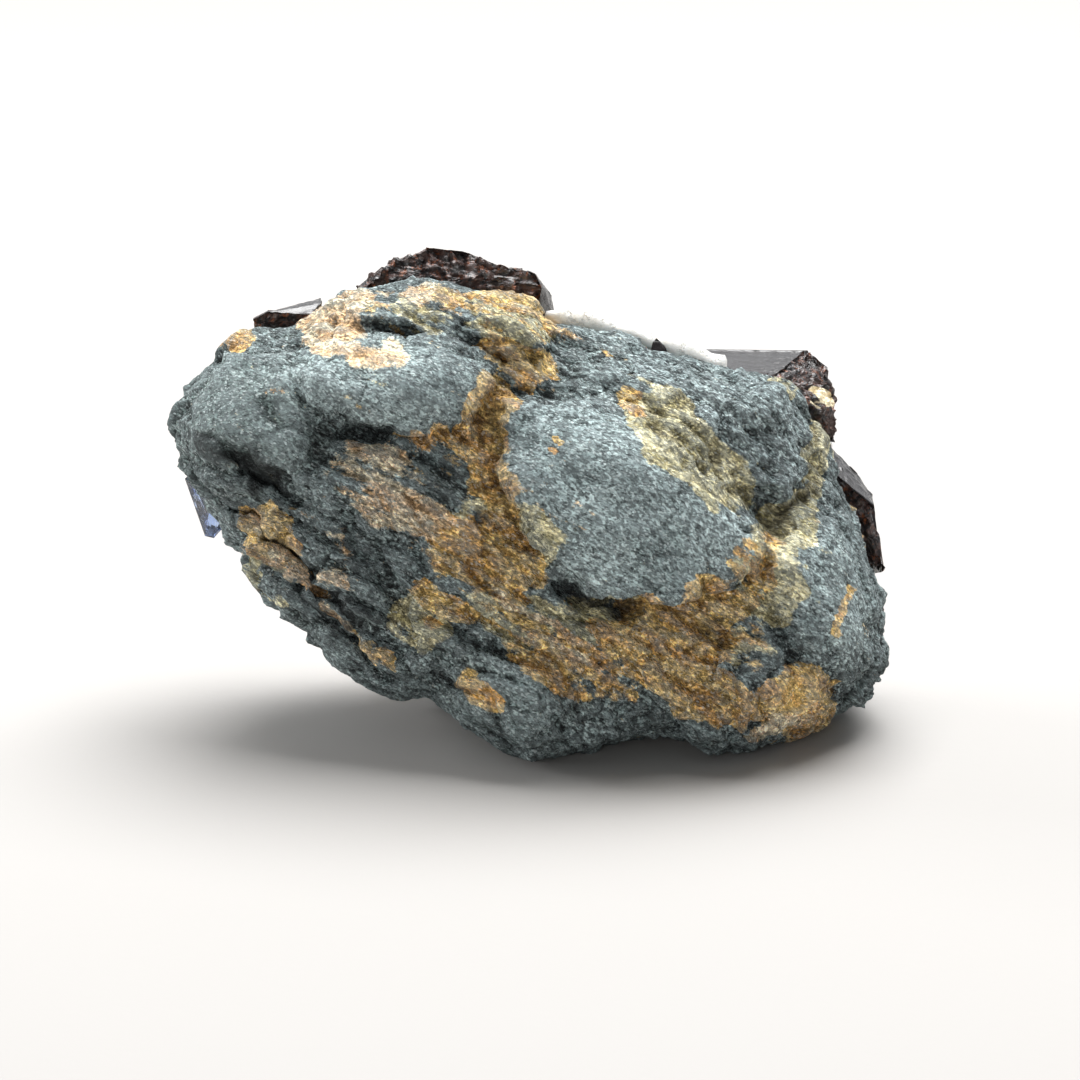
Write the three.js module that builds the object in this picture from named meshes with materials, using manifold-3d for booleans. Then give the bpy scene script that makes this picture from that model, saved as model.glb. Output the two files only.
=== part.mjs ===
// A hand specimen of benitoite and neptunite on natrolite, on a block of blueschist.
// Units are millimetres and +Z is up. The specimen rests on a worn flat patch under its
// middle, and the origin is on that patch.
//
// The block leans back. Its forms are given on its broken face: u runs to the right, v up the
// face and w into the block, so the broken face has low w and the crystal side has high w.

import * as THREE from "three";
import { ConvexGeometry } from "three/addons/geometries/ConvexGeometry.js";
import { mergeVertices } from "three/addons/utils/BufferGeometryUtils.js";
import Module from "manifold-3d";

const LEAN = THREE.MathUtils.degToRad(16);
const FLOOR = -21.5; // height of the resting patch below the middle of the face
const GAP = 0.3; // clearance round every crystal
const SKIN = 0.45; // clearance between the block and its crust

const BLOCK_CELLS = 34; // cells along each side of the square grid on each half of the block
const CRUST_CELLS = 24;

// The block's rim, where the broken face turns over into the crystal side: u, v, w.
// It runs from the right, up and over the crest, down the left and back along the foot.
const RIM = [
  [37.0, -2.8, 5], [35.0, 2.8, 5], [32.7, 7.4, 4], [30.8, 12.4, 2.5], [27.6, 16.7, 0.5],
  [22.8, 17.6, -1], [15.6, 19.8, 0], [7.8, 22.6, 0], [1.8, 23.8, 1], [-1.1, 27.1, 1],
  [-6.7, 27.8, 1], [-15.6, 28.3, 1], [-21.7, 27.8, 2], [-26.7, 24.2, 3], [-33.3, 22.8, 3],
  [-36.9, 19.1, 2], [-40.0, 15.3, 2], [-40.8, 12.4, 2], [-39.1, 8.3, 3], [-36.7, 5.6, 5],
  [-36.1, 2.8, 5], [-32.8, -2.0, 4], [-27.8, -7.8, 3], [-21.7, -13.6, 1], [-16.1, -16.9, 0],
  [-12.2, -17.1, -1], [-8.3, -20.2, -3], [-4.4, -22.8, -5], [0.0, -24.4, -7], [5.6, -23.1, -6],
  [11.1, -21.7, -5], [15.6, -21.4, -4], [19.4, -22.7, -5], [22.8, -22.4, -5], [27.2, -21.8, -3],
  [30.6, -20.6, -1], [33.9, -18.7, 1], [37.2, -15.8, 3], [38.6, -11.7, 5], [38.2, -7.8, 6],
];
const MIDDLE = { u: 0, v: 2 };

// Depth of each side's middle, the fullness of its section, and how the crystal side tilts up.
const FACE = { depth: -18.5, fullness: 2.3, tilt: 0 };
const BACK = { depth: 17, fullness: 2.8, tilt: -0.45 };
const SECTION = { across: 30, deep: 20 };

// Rounded lumps on the broken face: middle u, v, half widths, turn in degrees, height.
const LUMPS = [
  [-32.4, 13.6, 9.0, 8.5, 20, 3.4],
  [-15.6, 17.2, 11.5, 5.6, -6, 5.4],
  [-24.5, 17.0, 5.5, 5.5, 0, 1.6],
  [-21.8, 23.5, 6.0, 4.0, 0, 1.6],
  [-10.8, 24.2, 9.0, 3.6, -5, 1.6],
  [-3.2, 24.0, 5.4, 4.2, -20, 2.4],
  [-17.0, 5.8, 8.0, 5.5, -30, 1.4],
  [-20.2, -6.2, 4.4, 3.4, -45, 1.6],
  [18.5, 14.8, 14.0, 6.5, -30, 1.8],
  [9.6, 4.0, 14.5, 10.0, -28, 3.8],
  [31.4, -5.8, 10.5, 6.5, -70, 4.0],
  [22.4, -15.4, 4.6, 5.0, -50, 2.6],
  [28.2, -17.2, 4.4, 3.8, 0, 2.8],
  [-3.8, -17.4, 7.5, 5.0, -10, 2.4],
  [-10.2, -3.2, 7.5, 5.0, -20, 1.0],
];

// Hollows: the same, with depth in place of height.
const HOLLOWS = [
  [-30.6, 6.4, 5.2, 1.9, -28, 5.0],
  [28.0, -17.6, 2.3, 1.9, 10, 2.2],
  [21.6, -13.6, 1.6, 2.6, -30, 1.6],
  [-5.6, 6.2, 3.2, 6.0, 5, 2.0],
  [-2.2, 15.6, 5.0, 3.0, -25, 1.0],
];

// The smooth slab that stands proud in the middle of the face, with a steep edge.
const SLAB = {
  rim: [
    [-3.9, 15.2], [3.0, 15.6], [10.6, 14.2], [14.0, 10.2], [17.6, 6.8], [22.0, 3.6],
    [24.6, 0.4], [24.8, -1.6], [22.4, -3.8], [18.0, -4.6], [16.8, -6.2], [11.6, -7.0],
    [5.0, -6.6], [1.4, -3.4], [-1.2, 1.4], [-3.6, 5.6], [-4.2, 11.2],
  ],
  height: 2.4,
  edge: 2.6,
};

// Cracks and bedding steps: a line of u, v points, with its half width and depth.
const CRACKS = [
  { line: [[-23.6, 12.4], [-20.6, 11.6], [-17.4, 11.8], [-14.6, 13]], width: 1.8, depth: 2.2 },
  { line: [[1, -3.6], [4.4, -6.6], [8.3, -7.6], [12.2, -7.2]], width: 2, depth: 2.6 },
  { line: [[-35, 11], [-32.2, 9.2], [-29.4, 7.6], [-26.7, 5.4]], width: 1.8, depth: 1.6 },
  { line: [[-35, 5], [-31.1, 2.2], [-26.7, -2.2], [-20, -8.9], [-15.6, -12.2]], width: 1.9, depth: 1.6 },
  { line: [[-25.6, -5.6], [-23.3, -7.8], [-18.7, -11.1]], width: 1.6, depth: 1.4 },
  { line: [[25, -0.6], [26.1, 2.2], [28.9, 5], [32.2, 6.7]], width: 2, depth: 1.8 },
  { line: [[-12.2, -13.9], [-9.4, -15.6], [-5.6, -16.7]], width: 1.7, depth: 1.4 },
  { line: [[-5.6, -16.7], [-4.8, -19.4], [-3.9, -22.2]], width: 1.5, depth: 1 },
];

// How far the crust reaches over the crystal side, at even turns round the rim: 1 is the rim, and
// above 1 it laps over on to the broken face.
const CRUST_REACH = [
  0.79, 0.83, 0.93, 0.99, 0.88, 0.8, 0.78, 0.75, 0.76, 0.56, 0.46, 0.4, 0.38, 0.4, 0.46, 0.62,
];
const CRUST = { thick: 2.6, edge: 1.4, lumps: 0.45 };

// Neptunites lodged in the crest and the right flank: the corners of each, u, v, w.
const LODGED = {
  neptunite_crest: [
    [-20.6, 28.2, 0.5], [-18.4, 30.0, 0.2], [-16.4, 31.8, 0.8], [-12.6, 32.7, 1.6], [-8.8, 32.3, 1.4],
    [-4.4, 30.9, 0.6], [-0.6, 29.8, 0.0], [0.2, 28.2, -0.6], [-19.0, 25.6, 1.0], [-0.4, 24.8, 0.0],
    [-18.6, 28.6, 8.0], [-13.0, 31.6, 9.0], [-5.0, 31.0, 9.6], [1.4, 27.4, 4.0], [1.8, 24.6, 3.4],
    [0.8, 27.6, 10.0], [1.2, 23.6, 10.0], [-17.6, 24.6, 9.0],
  ],
  neptunite_left: [
    [-32.0, 24.6, 0.8], [-30.4, 25.4, 0.4], [-25.2, 25.2, 0.0], [-24.2, 26.6, 2.0], [-24.6, 27.2, 6.0],
    [-28.4, 26.0, 6.6], [-31.4, 25.2, 5.6], [-31.8, 22.6, 1.2], [-25.0, 22.4, 1.0], [-31.0, 21.8, 6.0],
    [-25.0, 22.6, 7.0],
  ],
  neptunite_point: [
    [12.1, 20.2, -2.6], [12.5, 22.0, -2.2], [12.9, 22.4, -1.8], [13.8, 21.6, -2.0], [14.4, 20.2, -2.4],
    [13.0, 19.2, -3.0], [12.3, 19.6, -0.9], [13.9, 19.4, -0.8],
  ],
  neptunite_right: [
    [16.2, 21.6, 11.5], [30.2, 21.4, 10.4], [28.4, 20.8, 8.6], [26.2, 18.2, 0.2], [21.8, 18.4, 0.2],
    [32.4, 19.4, 8.0], [33.4, 17.2, 5.2], [33.6, 13.2, 4.4], [33.0, 10.8, 4.8], [31.6, 14.2, 1.2],
    [20.0, 13.6, 2.4], [17.0, 15.0, 11.5], [31.4, 12.0, 10.6], [28.6, 12.0, 2.6],
  ],
  neptunite_flank: [
    [33.0, 10.4, 10.0], [35.8, 7.6, 11.0], [37.5, 5.2, 9.4], [33.0, 7.7, 5.6], [35.2, 5.8, 4.8],
    [37.5, 4.0, 5.8], [37.9, 0.6, 5.8], [38.5, -3.6, 6.6], [37.6, -3.8, 11.0], [33.4, 0.0, 12.4],
    [31.6, 4.4, 6.0], [31.4, 6.6, 11.0],
  ],
  neptunite_low: [
    [37.2, -5.2, 6.6], [38.2, -4.9, 7.0], [38.9, -7.8, 7.2], [38.4, -9.0, 7.4], [36.4, -8.8, 7.6],
    [36.0, -5.6, 11.4], [37.8, -5.8, 11.0], [37.8, -8.6, 11.2],
  ],
};

// Crystals on the crust. Reach and turn say where, as shares of the way from the middle of the
// crystal side to the rim and of the way round it. Rise is the height of the crystal's middle
// above the crust, spin its turn on the crust and lean its tilt out of it.
const BARS = {
  neptunite_bar: { reach: 0.2, turn: 0.08, length: 25, width: 5.8, spin: 30, lean: 3, rise: 0.8 },
  neptunite_cross: { reach: 0.3, turn: 0.57, length: 15, width: 4.4, spin: 105, lean: 8, rise: 0.9 },
  neptunite_stub: { reach: 0.48, turn: 0.96, length: 9, width: 3.8, spin: 60, lean: 30, rise: 1.4 },
};
const GEMS = {
  benitoite_large: { reach: 0.46, turn: 0.36, width: 12.0, spin: 15, lean: 28, rise: 1.6 },
  benitoite_upper: { reach: 0.5, turn: 0.165, width: 8.0, spin: 70, lean: 38, rise: 1.4 },
  benitoite_lower: { reach: 0.26, turn: 0.83, width: 9.0, spin: -20, lean: 32, rise: 1.4 },
  benitoite_right: { reach: 0.62, turn: 0.04, width: 6.5, spin: 40, lean: 34, rise: 1.2 },
  benitoite_small: { reach: 0.52, turn: 0.51, width: 6.0, spin: 5, lean: 42, rise: 1.0 },
};
// The benitoite whose corner stands out past the left edge: u, v, w of its middle.
const EDGE_GEM = { at: [-36.4, 4.4, 8.4], width: 7.6, turn: [60, 12, 20] };

const wasm = await Module();
wasm.setup();

const radians = THREE.MathUtils.degToRad;

// A point of the leaning block in the upright frame.
function upright(u, v, w) {
  return new THREE.Vector3(
    u,
    v * Math.sin(LEAN) + w * Math.cos(LEAN),
    v * Math.cos(LEAN) - w * Math.sin(LEAN) - FLOOR,
  );
}

function smooth(x) {
  const t = Math.min(1, Math.max(0, x));
  return t * t * (3 - 2 * t);
}

// The rounded section from the middle of a side to the rim: gives the sideways share at equal
// steps along it.
function sectionOf(fullness) {
  const fine = 400;
  const shares = [0];
  const lengths = [0];
  let bulge = 1;
  for (let k = 1; k <= fine; k += 1) {
    const angle = (k / fine) * (Math.PI / 2);
    const share = Math.sin(angle) ** (2 / fullness);
    const next = Math.cos(angle) ** (2 / fullness);
    const across = (share - shares[k - 1]) * SECTION.across;
    const deep = (bulge - next) * SECTION.deep;
    shares.push(share);
    lengths.push(lengths[k - 1] + Math.hypot(across, deep));
    bulge = next;
  }
  return (reach) => {
    if (reach >= 1) return 1;
    const wanted = reach * lengths[fine];
    const k = lengths.findIndex((length) => length > wanted);
    const step = (wanted - lengths[k - 1]) / (lengths[k] - lengths[k - 1]);
    return shares[k - 1] + step * (shares[k] - shares[k - 1]);
  };
}

const rimCurve = new THREE.CatmullRomCurve3(
  RIM.map(([u, v, w]) => new THREE.Vector3(u, v, w)),
  true,
  "catmullrom",
  0.5,
);
FACE.section = sectionOf(FACE.fullness);
BACK.section = sectionOf(BACK.fullness);

// How far a point lies from the middle of a turned ellipse, where 1 is its edge.
function ellipseShare(u, v, [middleU, middleV, halfU, halfV, turn]) {
  const angle = radians(turn);
  const du = u - middleU;
  const dv = v - middleV;
  const along = (du * Math.cos(angle) + dv * Math.sin(angle)) / halfU;
  const across = (dv * Math.cos(angle) - du * Math.sin(angle)) / halfV;
  return Math.hypot(along, across);
}

function distanceToSegment(u, v, [u0, v0], [u1, v1]) {
  const du = u1 - u0;
  const dv = v1 - v0;
  const share = ((u - u0) * du + (v - v0) * dv) / (du * du + dv * dv);
  const t = Math.min(1, Math.max(0, share));
  return Math.hypot(u - u0 - t * du, v - v0 - t * dv);
}

// Distance inside a closed outline, negative outside it.
function depthInside(u, v, outline) {
  let nearest = Infinity;
  let inside = false;
  outline.forEach((start, k) => {
    const end = outline[(k + 1) % outline.length];
    nearest = Math.min(nearest, distanceToSegment(u, v, start, end));
    if (start[1] > v !== end[1] > v) {
      const crossing = start[0] + ((v - start[1]) / (end[1] - start[1])) * (end[0] - start[0]);
      if (u < crossing) inside = !inside;
    }
  });
  return inside ? nearest : -nearest;
}

// Height of the broken face's forms above its plain bulge.
function faceRelief(u, v) {
  let height = SLAB.height * smooth(depthInside(u, v, SLAB.rim) / SLAB.edge + 0.5);
  for (const lump of LUMPS) {
    const share = ellipseShare(u, v, lump);
    if (share < 1) height += lump[5] * (1 - share * share) ** 1.2;
  }
  for (const hollow of HOLLOWS) {
    const share = ellipseShare(u, v, hollow);
    height -= hollow[5] * Math.exp(-2 * share * share);
  }
  for (const { line, width, depth } of CRACKS) {
    let nearest = Infinity;
    for (let k = 1; k < line.length; k += 1) {
      nearest = Math.min(nearest, distanceToSegment(u, v, line[k - 1], line[k]));
    }
    height -= depth * Math.exp(-((nearest / width) ** 2));
  }
  return height;
}

// Low unevenness all over the block.
function unevenness(u, v, w) {
  return (
    0.32 * Math.sin(0.55 * u + 0.3 * v + 1.0) * Math.cos(0.48 * v - 0.35 * w) +
    0.28 * Math.sin(0.42 * w + 0.62 * v + 2.0) * Math.cos(0.36 * u + 0.5)
  );
}

// A point of one side of the block. Reach runs from its middle to the rim, turn round the rim.
function blockPoint(side, reach, turn) {
  const rim = rimCurve.getPoint(turn % 1);
  const share = side.section(reach);
  const u = MIDDLE.u + share * (rim.x - MIDDLE.u);
  const v = MIDDLE.v + share * (rim.y - MIDDLE.v);
  const bulge = Math.max(0, 1 - share ** side.fullness) ** (1 / side.fullness);
  const depth = side.depth + side.tilt * v;
  const fade = smooth(bulge / 0.55);
  const forms = side === FACE ? faceRelief(u, v) : 0;
  const w = rim.z + (depth - rim.z) * bulge;
  return upright(u, v, w - (forms - unevenness(u, v, w)) * fade);
}

// Reach and turn of a point of a square grid that is wrapped on to a round side.
function gridPlace(i, j, cells) {
  const x = i - cells / 2;
  const y = j - cells / 2;
  const ring = Math.max(Math.abs(x), Math.abs(y));
  if (ring === 0) return { reach: 0, turn: 0 };
  let eighths = 6 + x / ring;
  if (x === ring) eighths = 8 + y / ring;
  else if (y === ring) eighths = 2 - x / ring;
  else if (x === -ring) eighths = 4 - y / ring;
  return { reach: ring / (cells / 2), turn: (eighths % 8) / 8 };
}

// Triangles of a square grid, each cell split along the diagonal that points to the middle.
function gridTriangles(cells, indexOf, flipped) {
  const triangles = [];
  for (let i = 0; i < cells; i += 1) {
    for (let j = 0; j < cells; j += 1) {
      const a = indexOf(i, j);
      const b = indexOf(i + 1, j);
      const c = indexOf(i + 1, j + 1);
      const d = indexOf(i, j + 1);
      const rising = i < cells / 2 === j < cells / 2;
      const pair = rising ? [[a, b, c], [a, c, d]] : [[a, b, d], [b, c, d]];
      for (const [p, q, r] of pair) triangles.push(...(flipped ? [p, r, q] : [p, q, r]));
    }
  }
  return triangles;
}

// A closed solid from two square grids, near and far, that share the near one's border.
function twoSidedSolid(cells, near, far) {
  const places = [];
  const indices = new Map();
  const indexer = (layer, pointAt) => (i, j) => {
    const border = i === 0 || j === 0 || i === cells || j === cells;
    const key = `${border ? "border" : layer} ${i} ${j}`;
    if (!indices.has(key)) {
      const { reach, turn } = gridPlace(i, j, cells);
      indices.set(key, places.length / 3);
      places.push(...pointAt(reach, turn).toArray());
    }
    return indices.get(key);
  };
  const triangles = [
    ...gridTriangles(cells, indexer("near", near), false),
    ...gridTriangles(cells, indexer("far", far), true),
  ];
  const geometry = new THREE.BufferGeometry();
  geometry.setAttribute("position", new THREE.Float32BufferAttribute(places, 3));
  geometry.setIndex(triangles);
  return toSolid(geometry);
}

function toSolid(geometry) {
  const bare = geometry.clone();
  bare.deleteAttribute("normal");
  bare.deleteAttribute("uv");
  const merged = mergeVertices(bare, 1e-3);
  return new wasm.Manifold(
    new wasm.Mesh({
      numProp: 3,
      vertProperties: new Float32Array(merged.attributes.position.array),
      triVerts: new Uint32Array(merged.index.array),
    }),
  );
}

// The solid without the crumbs that a cut leaves beside it.
function largestBody(solid) {
  const bodies = solid.decompose();
  return bodies.reduce((best, body) => (body.volume() > best.volume() ? body : best));
}

function toGeometry(solid) {
  const { numProp, vertProperties, triVerts } = solid.getMesh();
  const places = [];
  for (let k = 0; k < vertProperties.length; k += numProp) {
    places.push(vertProperties[k], vertProperties[k + 1], vertProperties[k + 2]);
  }
  const geometry = new THREE.BufferGeometry();
  geometry.setAttribute("position", new THREE.Float32BufferAttribute(places, 3));
  geometry.setIndex([...triVerts]);
  geometry.computeVertexNormals();
  return geometry;
}

// How far the crust reaches at a turn, as a smooth wave through its even steps.
function crustReach(turn) {
  const steps = CRUST_REACH.length;
  const at = (turn % 1) * steps;
  const k = Math.floor(at);
  return THREE.MathUtils.lerp(CRUST_REACH[k], CRUST_REACH[(k + 1) % steps], smooth(at - k));
}

// A point of the crystal side and the direction that faces out of it. Past a reach of 1 it
// carries on over the rim on to the broken face.
function crystalSide(reach, turn) {
  const at = (r, t) => (r <= 1 ? blockPoint(BACK, r, t) : blockPoint(FACE, 2 - r, t));
  const step = 0.004;
  const round = at(reach, turn + 1 + step).sub(at(reach, turn + 1 - step));
  const outward = at(reach + step, turn + 1).sub(at(reach - step, turn + 1));
  return { point: at(reach, turn + 1), normal: round.cross(outward).normalize() };
}

// The crust: a shell over the crystal side, lumpy outside and thinner towards its edge.
function crustSolid() {
  const layer = (height) => (reach, turn) => {
    const { point, normal } = crystalSide(Math.max(0.01, reach * crustReach(turn)), turn);
    return point.addScaledVector(normal, SKIN + height(reach, point));
  };
  const inner = (reach) => (CRUST.edge / 2) * reach ** 12;
  const outer = (reach, { x, z }) =>
    THREE.MathUtils.lerp(CRUST.edge, CRUST.thick, smooth((1 - reach) / 0.4)) +
    CRUST.lumps * Math.sin(0.7 * x + 0.4) * Math.cos(0.6 * z - 0.3 * x);
  return twoSidedSolid(CRUST_CELLS, layer(inner), layer(outer));
}

// A prism with eight sides and a wedge at each end, along X.
function barCorners({ length, width }) {
  const corners = [];
  const section = [[1, 0.4], [0.55, 0.8], [-0.55, 0.8], [-1, 0.4]];
  for (const end of [-1, 1]) {
    for (const [y, z] of section) {
      for (const side of [-1, 1]) {
        const setBack = width * (0.3 + 0.16 * z * side * end);
        corners.push([end * (length / 2 - setBack), (y * width) / 2, (side * z * width) / 2]);
      }
    }
    corners.push([(end * length) / 2, 0.16 * width, 0.06 * width * end]);
    corners.push([(end * length) / 2, -0.16 * width, 0.06 * width * end]);
  }
  return corners;
}

// A flattened benitoite: a broad triangle with cut corners between two small ones.
function gemCorners({ width }) {
  const radius = width / 1.75;
  const rings = [[1, 7, 0], [0.5, 22, 0.27], [0.42, 24, -0.27]];
  const corners = [];
  for (const [size, cut, height] of rings) {
    for (const middle of [0, 120, 240]) {
      for (const angle of [radians(middle - cut), radians(middle + cut)]) {
        const x = radius * size * Math.cos(angle);
        const y = radius * size * Math.sin(angle);
        corners.push([x, y, height * width]);
      }
    }
  }
  return corners;
}

// Every corner of a crystal moved out by the gap on all sides, for the socket it sits in.
function socketOf(crystal) {
  crystal.updateMatrix();
  const corners = [];
  const { position } = crystal.geometry.attributes;
  for (let k = 0; k < position.count; k += 1) {
    const corner = new THREE.Vector3().fromBufferAttribute(position, k);
    corner.applyMatrix4(crystal.matrix);
    for (const x of [-GAP, GAP]) {
      for (const y of [-GAP, GAP]) {
        for (const z of [-GAP, GAP]) corners.push(new THREE.Vector3(x, y, z).add(corner));
      }
    }
  }
  return toSolid(new ConvexGeometry(corners));
}

// Sets a crystal on the crust, its own Z along the direction out of the crust.
function placeOnCrust(crystal, { reach, turn, spin, lean, rise }) {
  const { point, normal } = crystalSide(reach, turn);
  const out = new THREE.Vector3(0, 0, 1);
  const along = new THREE.Vector3(0, 1, 0);
  crystal.quaternion
    .setFromUnitVectors(out, normal)
    .multiply(new THREE.Quaternion().setFromAxisAngle(out, radians(spin)))
    .multiply(new THREE.Quaternion().setFromAxisAngle(along, radians(lean)));
  crystal.position.copy(point).addScaledVector(normal, SKIN + CRUST.thick + rise);
}

const NEPTUNITE = new THREE.MeshStandardMaterial({ color: 0x1c1413, roughness: 0.25 });
const BENITOITE = new THREE.MeshStandardMaterial({ color: 0x3f62b8, roughness: 0.05 });
const NATROLITE = new THREE.MeshStandardMaterial({ color: 0xf3f1ec, roughness: 0.7 });
const BLUESCHIST = new THREE.MeshStandardMaterial({ color: 0x73817f, roughness: 0.9 });

function addPart(name, geometry, material) {
  const mesh = new THREE.Mesh(geometry, material);
  mesh.name = name;
  specimen.add(mesh);
  return mesh;
}

function addCrystal(name, corners, material) {
  const points = corners.map((corner) => new THREE.Vector3(...corner));
  const crystal = addPart(name, new ConvexGeometry(points), material);
  crystals.push(crystal);
  return crystal;
}

const specimen = new THREE.Group();
specimen.name = "benitoite_specimen";
const crystals = [];

for (const [name, corners] of Object.entries(LODGED)) {
  addCrystal(name, corners.map((corner) => upright(...corner).toArray()), NEPTUNITE);
}
for (const [name, bar] of Object.entries(BARS)) {
  placeOnCrust(addCrystal(name, barCorners(bar), NEPTUNITE), bar);
}
for (const [name, gem] of Object.entries(GEMS)) {
  placeOnCrust(addCrystal(name, gemCorners(gem), BENITOITE), gem);
}
const edgeGem = addCrystal("benitoite_edge", gemCorners(EDGE_GEM), BENITOITE);
edgeGem.position.copy(upright(...EDGE_GEM.at));
edgeGem.rotation.set(...EDGE_GEM.turn.map(radians));

const sockets = crystals.map(socketOf);
const side = (which) => (reach, turn) => blockPoint(which, reach, turn);
const block = twoSidedSolid(BLOCK_CELLS, side(FACE), side(BACK))
  .subtract(wasm.Manifold.union(sockets))
  .trimByPlane([0, 0, 1], 0);
const crust = crustSolid().subtract(wasm.Manifold.union(sockets));

addPart("matrix", toGeometry(largestBody(block)), BLUESCHIST);
addPart("natrolite_crust", toGeometry(largestBody(crust)), NATROLITE);

export default specimen;
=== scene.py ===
"""Benitoite and neptunite in a natrolite crust, on a block of ochre-stained blueschist.

The block leans back. Its forms are given in millimetres on its broken face: u runs to the
right, v up the face and w into the block. The specimen itself stands in metres, +Z up.
"""

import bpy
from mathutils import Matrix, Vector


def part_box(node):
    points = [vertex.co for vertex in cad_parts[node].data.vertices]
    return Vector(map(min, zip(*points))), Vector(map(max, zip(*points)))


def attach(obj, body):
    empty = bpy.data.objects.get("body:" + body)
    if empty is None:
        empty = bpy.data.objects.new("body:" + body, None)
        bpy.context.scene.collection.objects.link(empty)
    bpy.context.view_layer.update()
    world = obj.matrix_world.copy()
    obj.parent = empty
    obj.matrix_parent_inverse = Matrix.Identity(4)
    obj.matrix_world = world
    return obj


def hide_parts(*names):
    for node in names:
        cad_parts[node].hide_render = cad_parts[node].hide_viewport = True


bl_info = {
    "name": "Benitoite specimen",
    "version": (1, 0, 0),
    "blender": (4, 5, 0),
    "location": "3D View > Sidebar > Specimen",
    "description": "Makes the rock, crust and crystals of a mineral hand specimen",
    "category": "Object",
}

import bpy
import numpy as np
from bpy.props import FloatProperty, FloatVectorProperty, IntProperty, PointerProperty
from mathutils import Vector

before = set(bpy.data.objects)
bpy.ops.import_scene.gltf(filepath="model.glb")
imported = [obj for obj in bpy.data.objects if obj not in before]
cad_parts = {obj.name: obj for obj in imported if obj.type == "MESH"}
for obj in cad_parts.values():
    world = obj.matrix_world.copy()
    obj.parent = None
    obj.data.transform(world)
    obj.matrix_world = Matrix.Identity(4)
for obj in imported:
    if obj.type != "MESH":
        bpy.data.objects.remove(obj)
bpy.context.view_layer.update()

MM = 0.001
LEAN = np.radians(16)
FLOOR = -21.5  # height of the resting patch below the middle of the face

# The block's rim, where the broken face turns over into the crystal side: u, v, w.
# It runs from the right, up and over the crest, down the left and back along the foot.
RIM = np.array([
    (37.0, -2.8, 5), (35.0, 2.8, 5), (32.7, 7.4, 4), (30.8, 12.4, 2.5), (27.6, 16.7, 0.5),
    (22.8, 17.6, -1), (15.6, 19.8, 0), (7.8, 22.6, 0), (1.8, 23.8, 1), (-1.1, 27.1, 1),
    (-6.7, 27.8, 1), (-15.6, 28.3, 1), (-21.7, 27.8, 2), (-26.7, 24.2, 3), (-33.3, 22.8, 3),
    (-36.9, 19.1, 2), (-40.0, 15.3, 2), (-40.8, 12.4, 2), (-39.1, 8.3, 3), (-36.7, 5.6, 5),
    (-36.1, 2.8, 5), (-32.8, -2.0, 4), (-27.8, -7.8, 3), (-21.7, -13.6, 1), (-16.1, -16.9, 0),
    (-12.2, -17.1, -1), (-8.3, -20.2, -3), (-4.4, -22.8, -5), (0.0, -24.4, -7), (5.6, -23.1, -6),
    (11.1, -21.7, -5), (15.6, -21.4, -4), (19.4, -22.7, -5), (22.8, -22.4, -5), (27.2, -21.8, -3),
    (30.6, -20.6, -1), (33.9, -18.7, 1), (37.2, -15.8, 3), (38.6, -11.7, 5), (38.2, -7.8, 6),
])
MIDDLE = np.array((0.0, 2.0))

# Depth of each side's middle, the fullness of its section, and how the crystal side tilts up.
FACE = {"depth": -18.5, "fullness": 2.3, "tilt": 0.0}
BACK = {"depth": 17.0, "fullness": 2.8, "tilt": -0.45}
SECTION = (30.0, 20.0)

# Rounded lumps on the broken face: middle u, v, half widths, turn in degrees, height.
LUMPS = (
    (-32.4, 13.6, 9.0, 8.5, 20, 3.4),
    (-15.6, 17.2, 11.5, 5.6, -6, 5.4),
    (-24.5, 17.0, 5.5, 5.5, 0, 1.6),
    (-21.8, 23.5, 6.0, 4.0, 0, 1.6),
    (-10.8, 24.2, 9.0, 3.6, -5, 1.6),
    (-3.2, 24.0, 5.4, 4.2, -20, 2.4),
    (-17.0, 5.8, 8.0, 5.5, -30, 1.4),
    (-20.2, -6.2, 4.4, 3.4, -45, 1.6),
    (18.5, 14.8, 14.0, 6.5, -30, 1.8),
    (9.6, 4.0, 14.5, 10.0, -28, 3.8),
    (31.4, -5.8, 10.5, 6.5, -70, 4.0),
    (22.4, -15.4, 4.6, 5.0, -50, 2.6),
    (28.2, -17.2, 4.4, 3.8, 0, 2.8),
    (-3.8, -17.4, 7.5, 5.0, -10, 2.4),
    (-10.2, -3.2, 7.5, 5.0, -20, 1.0),
)
LUMP_EDGE = 0.75  # below 1 the lumps end in a crisp edge
HALF_WORN = (2, 10, 12, 13)  # the lumps that are worn, but less than the first two
# Hollows: the same, with depth in place of height.
HOLLOWS = (
    (-30.7, 7.2, 4.9, 1.7, -30, 5.0),
    (28.0, -17.6, 2.3, 1.9, 10, 2.4),
    (21.6, -13.6, 1.6, 2.6, -30, 1.6),
    (-5.6, 6.2, 3.2, 6.0, 5, 2.0),
    (-2.2, 15.6, 5.0, 3.0, -25, 1.0),
    (20.0, -9.6, 1.4, 0.9, -20, 0.9),
    (1.7, -19.2, 0.5, 0.5, 0, 1.0),
    (-25.8, 16.4, 1.5, 4.6, 18, 1.6),
)
# Where thin ledges follow the bedding most: middle u, v, half widths, turn in degrees.
LEDGES = ((-25.5, -5.0, 11.0, 5.0, -43), (-7.0, -13.0, 6.0, 3.0, -30), (-33.5, 7.0, 5.0, 4.0, -40))
# The smooth slab that stands proud in the middle of the face, with a steep edge.
SLAB_RIM = (
    (-3.9, 15.2), (3.0, 15.6), (10.6, 14.2), (14.0, 10.2), (17.6, 6.8), (22.0, 3.6),
    (24.6, 0.4), (24.8, -1.6), (22.4, -3.8), (18.0, -4.6), (16.8, -6.2), (11.6, -7.0),
    (5.0, -6.6), (1.4, -3.4), (-1.2, 1.4), (-3.6, 5.6), (-4.2, 11.2),
)
SLAB_HEIGHT = 2.4
SLAB_EDGE = 1.6

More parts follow.
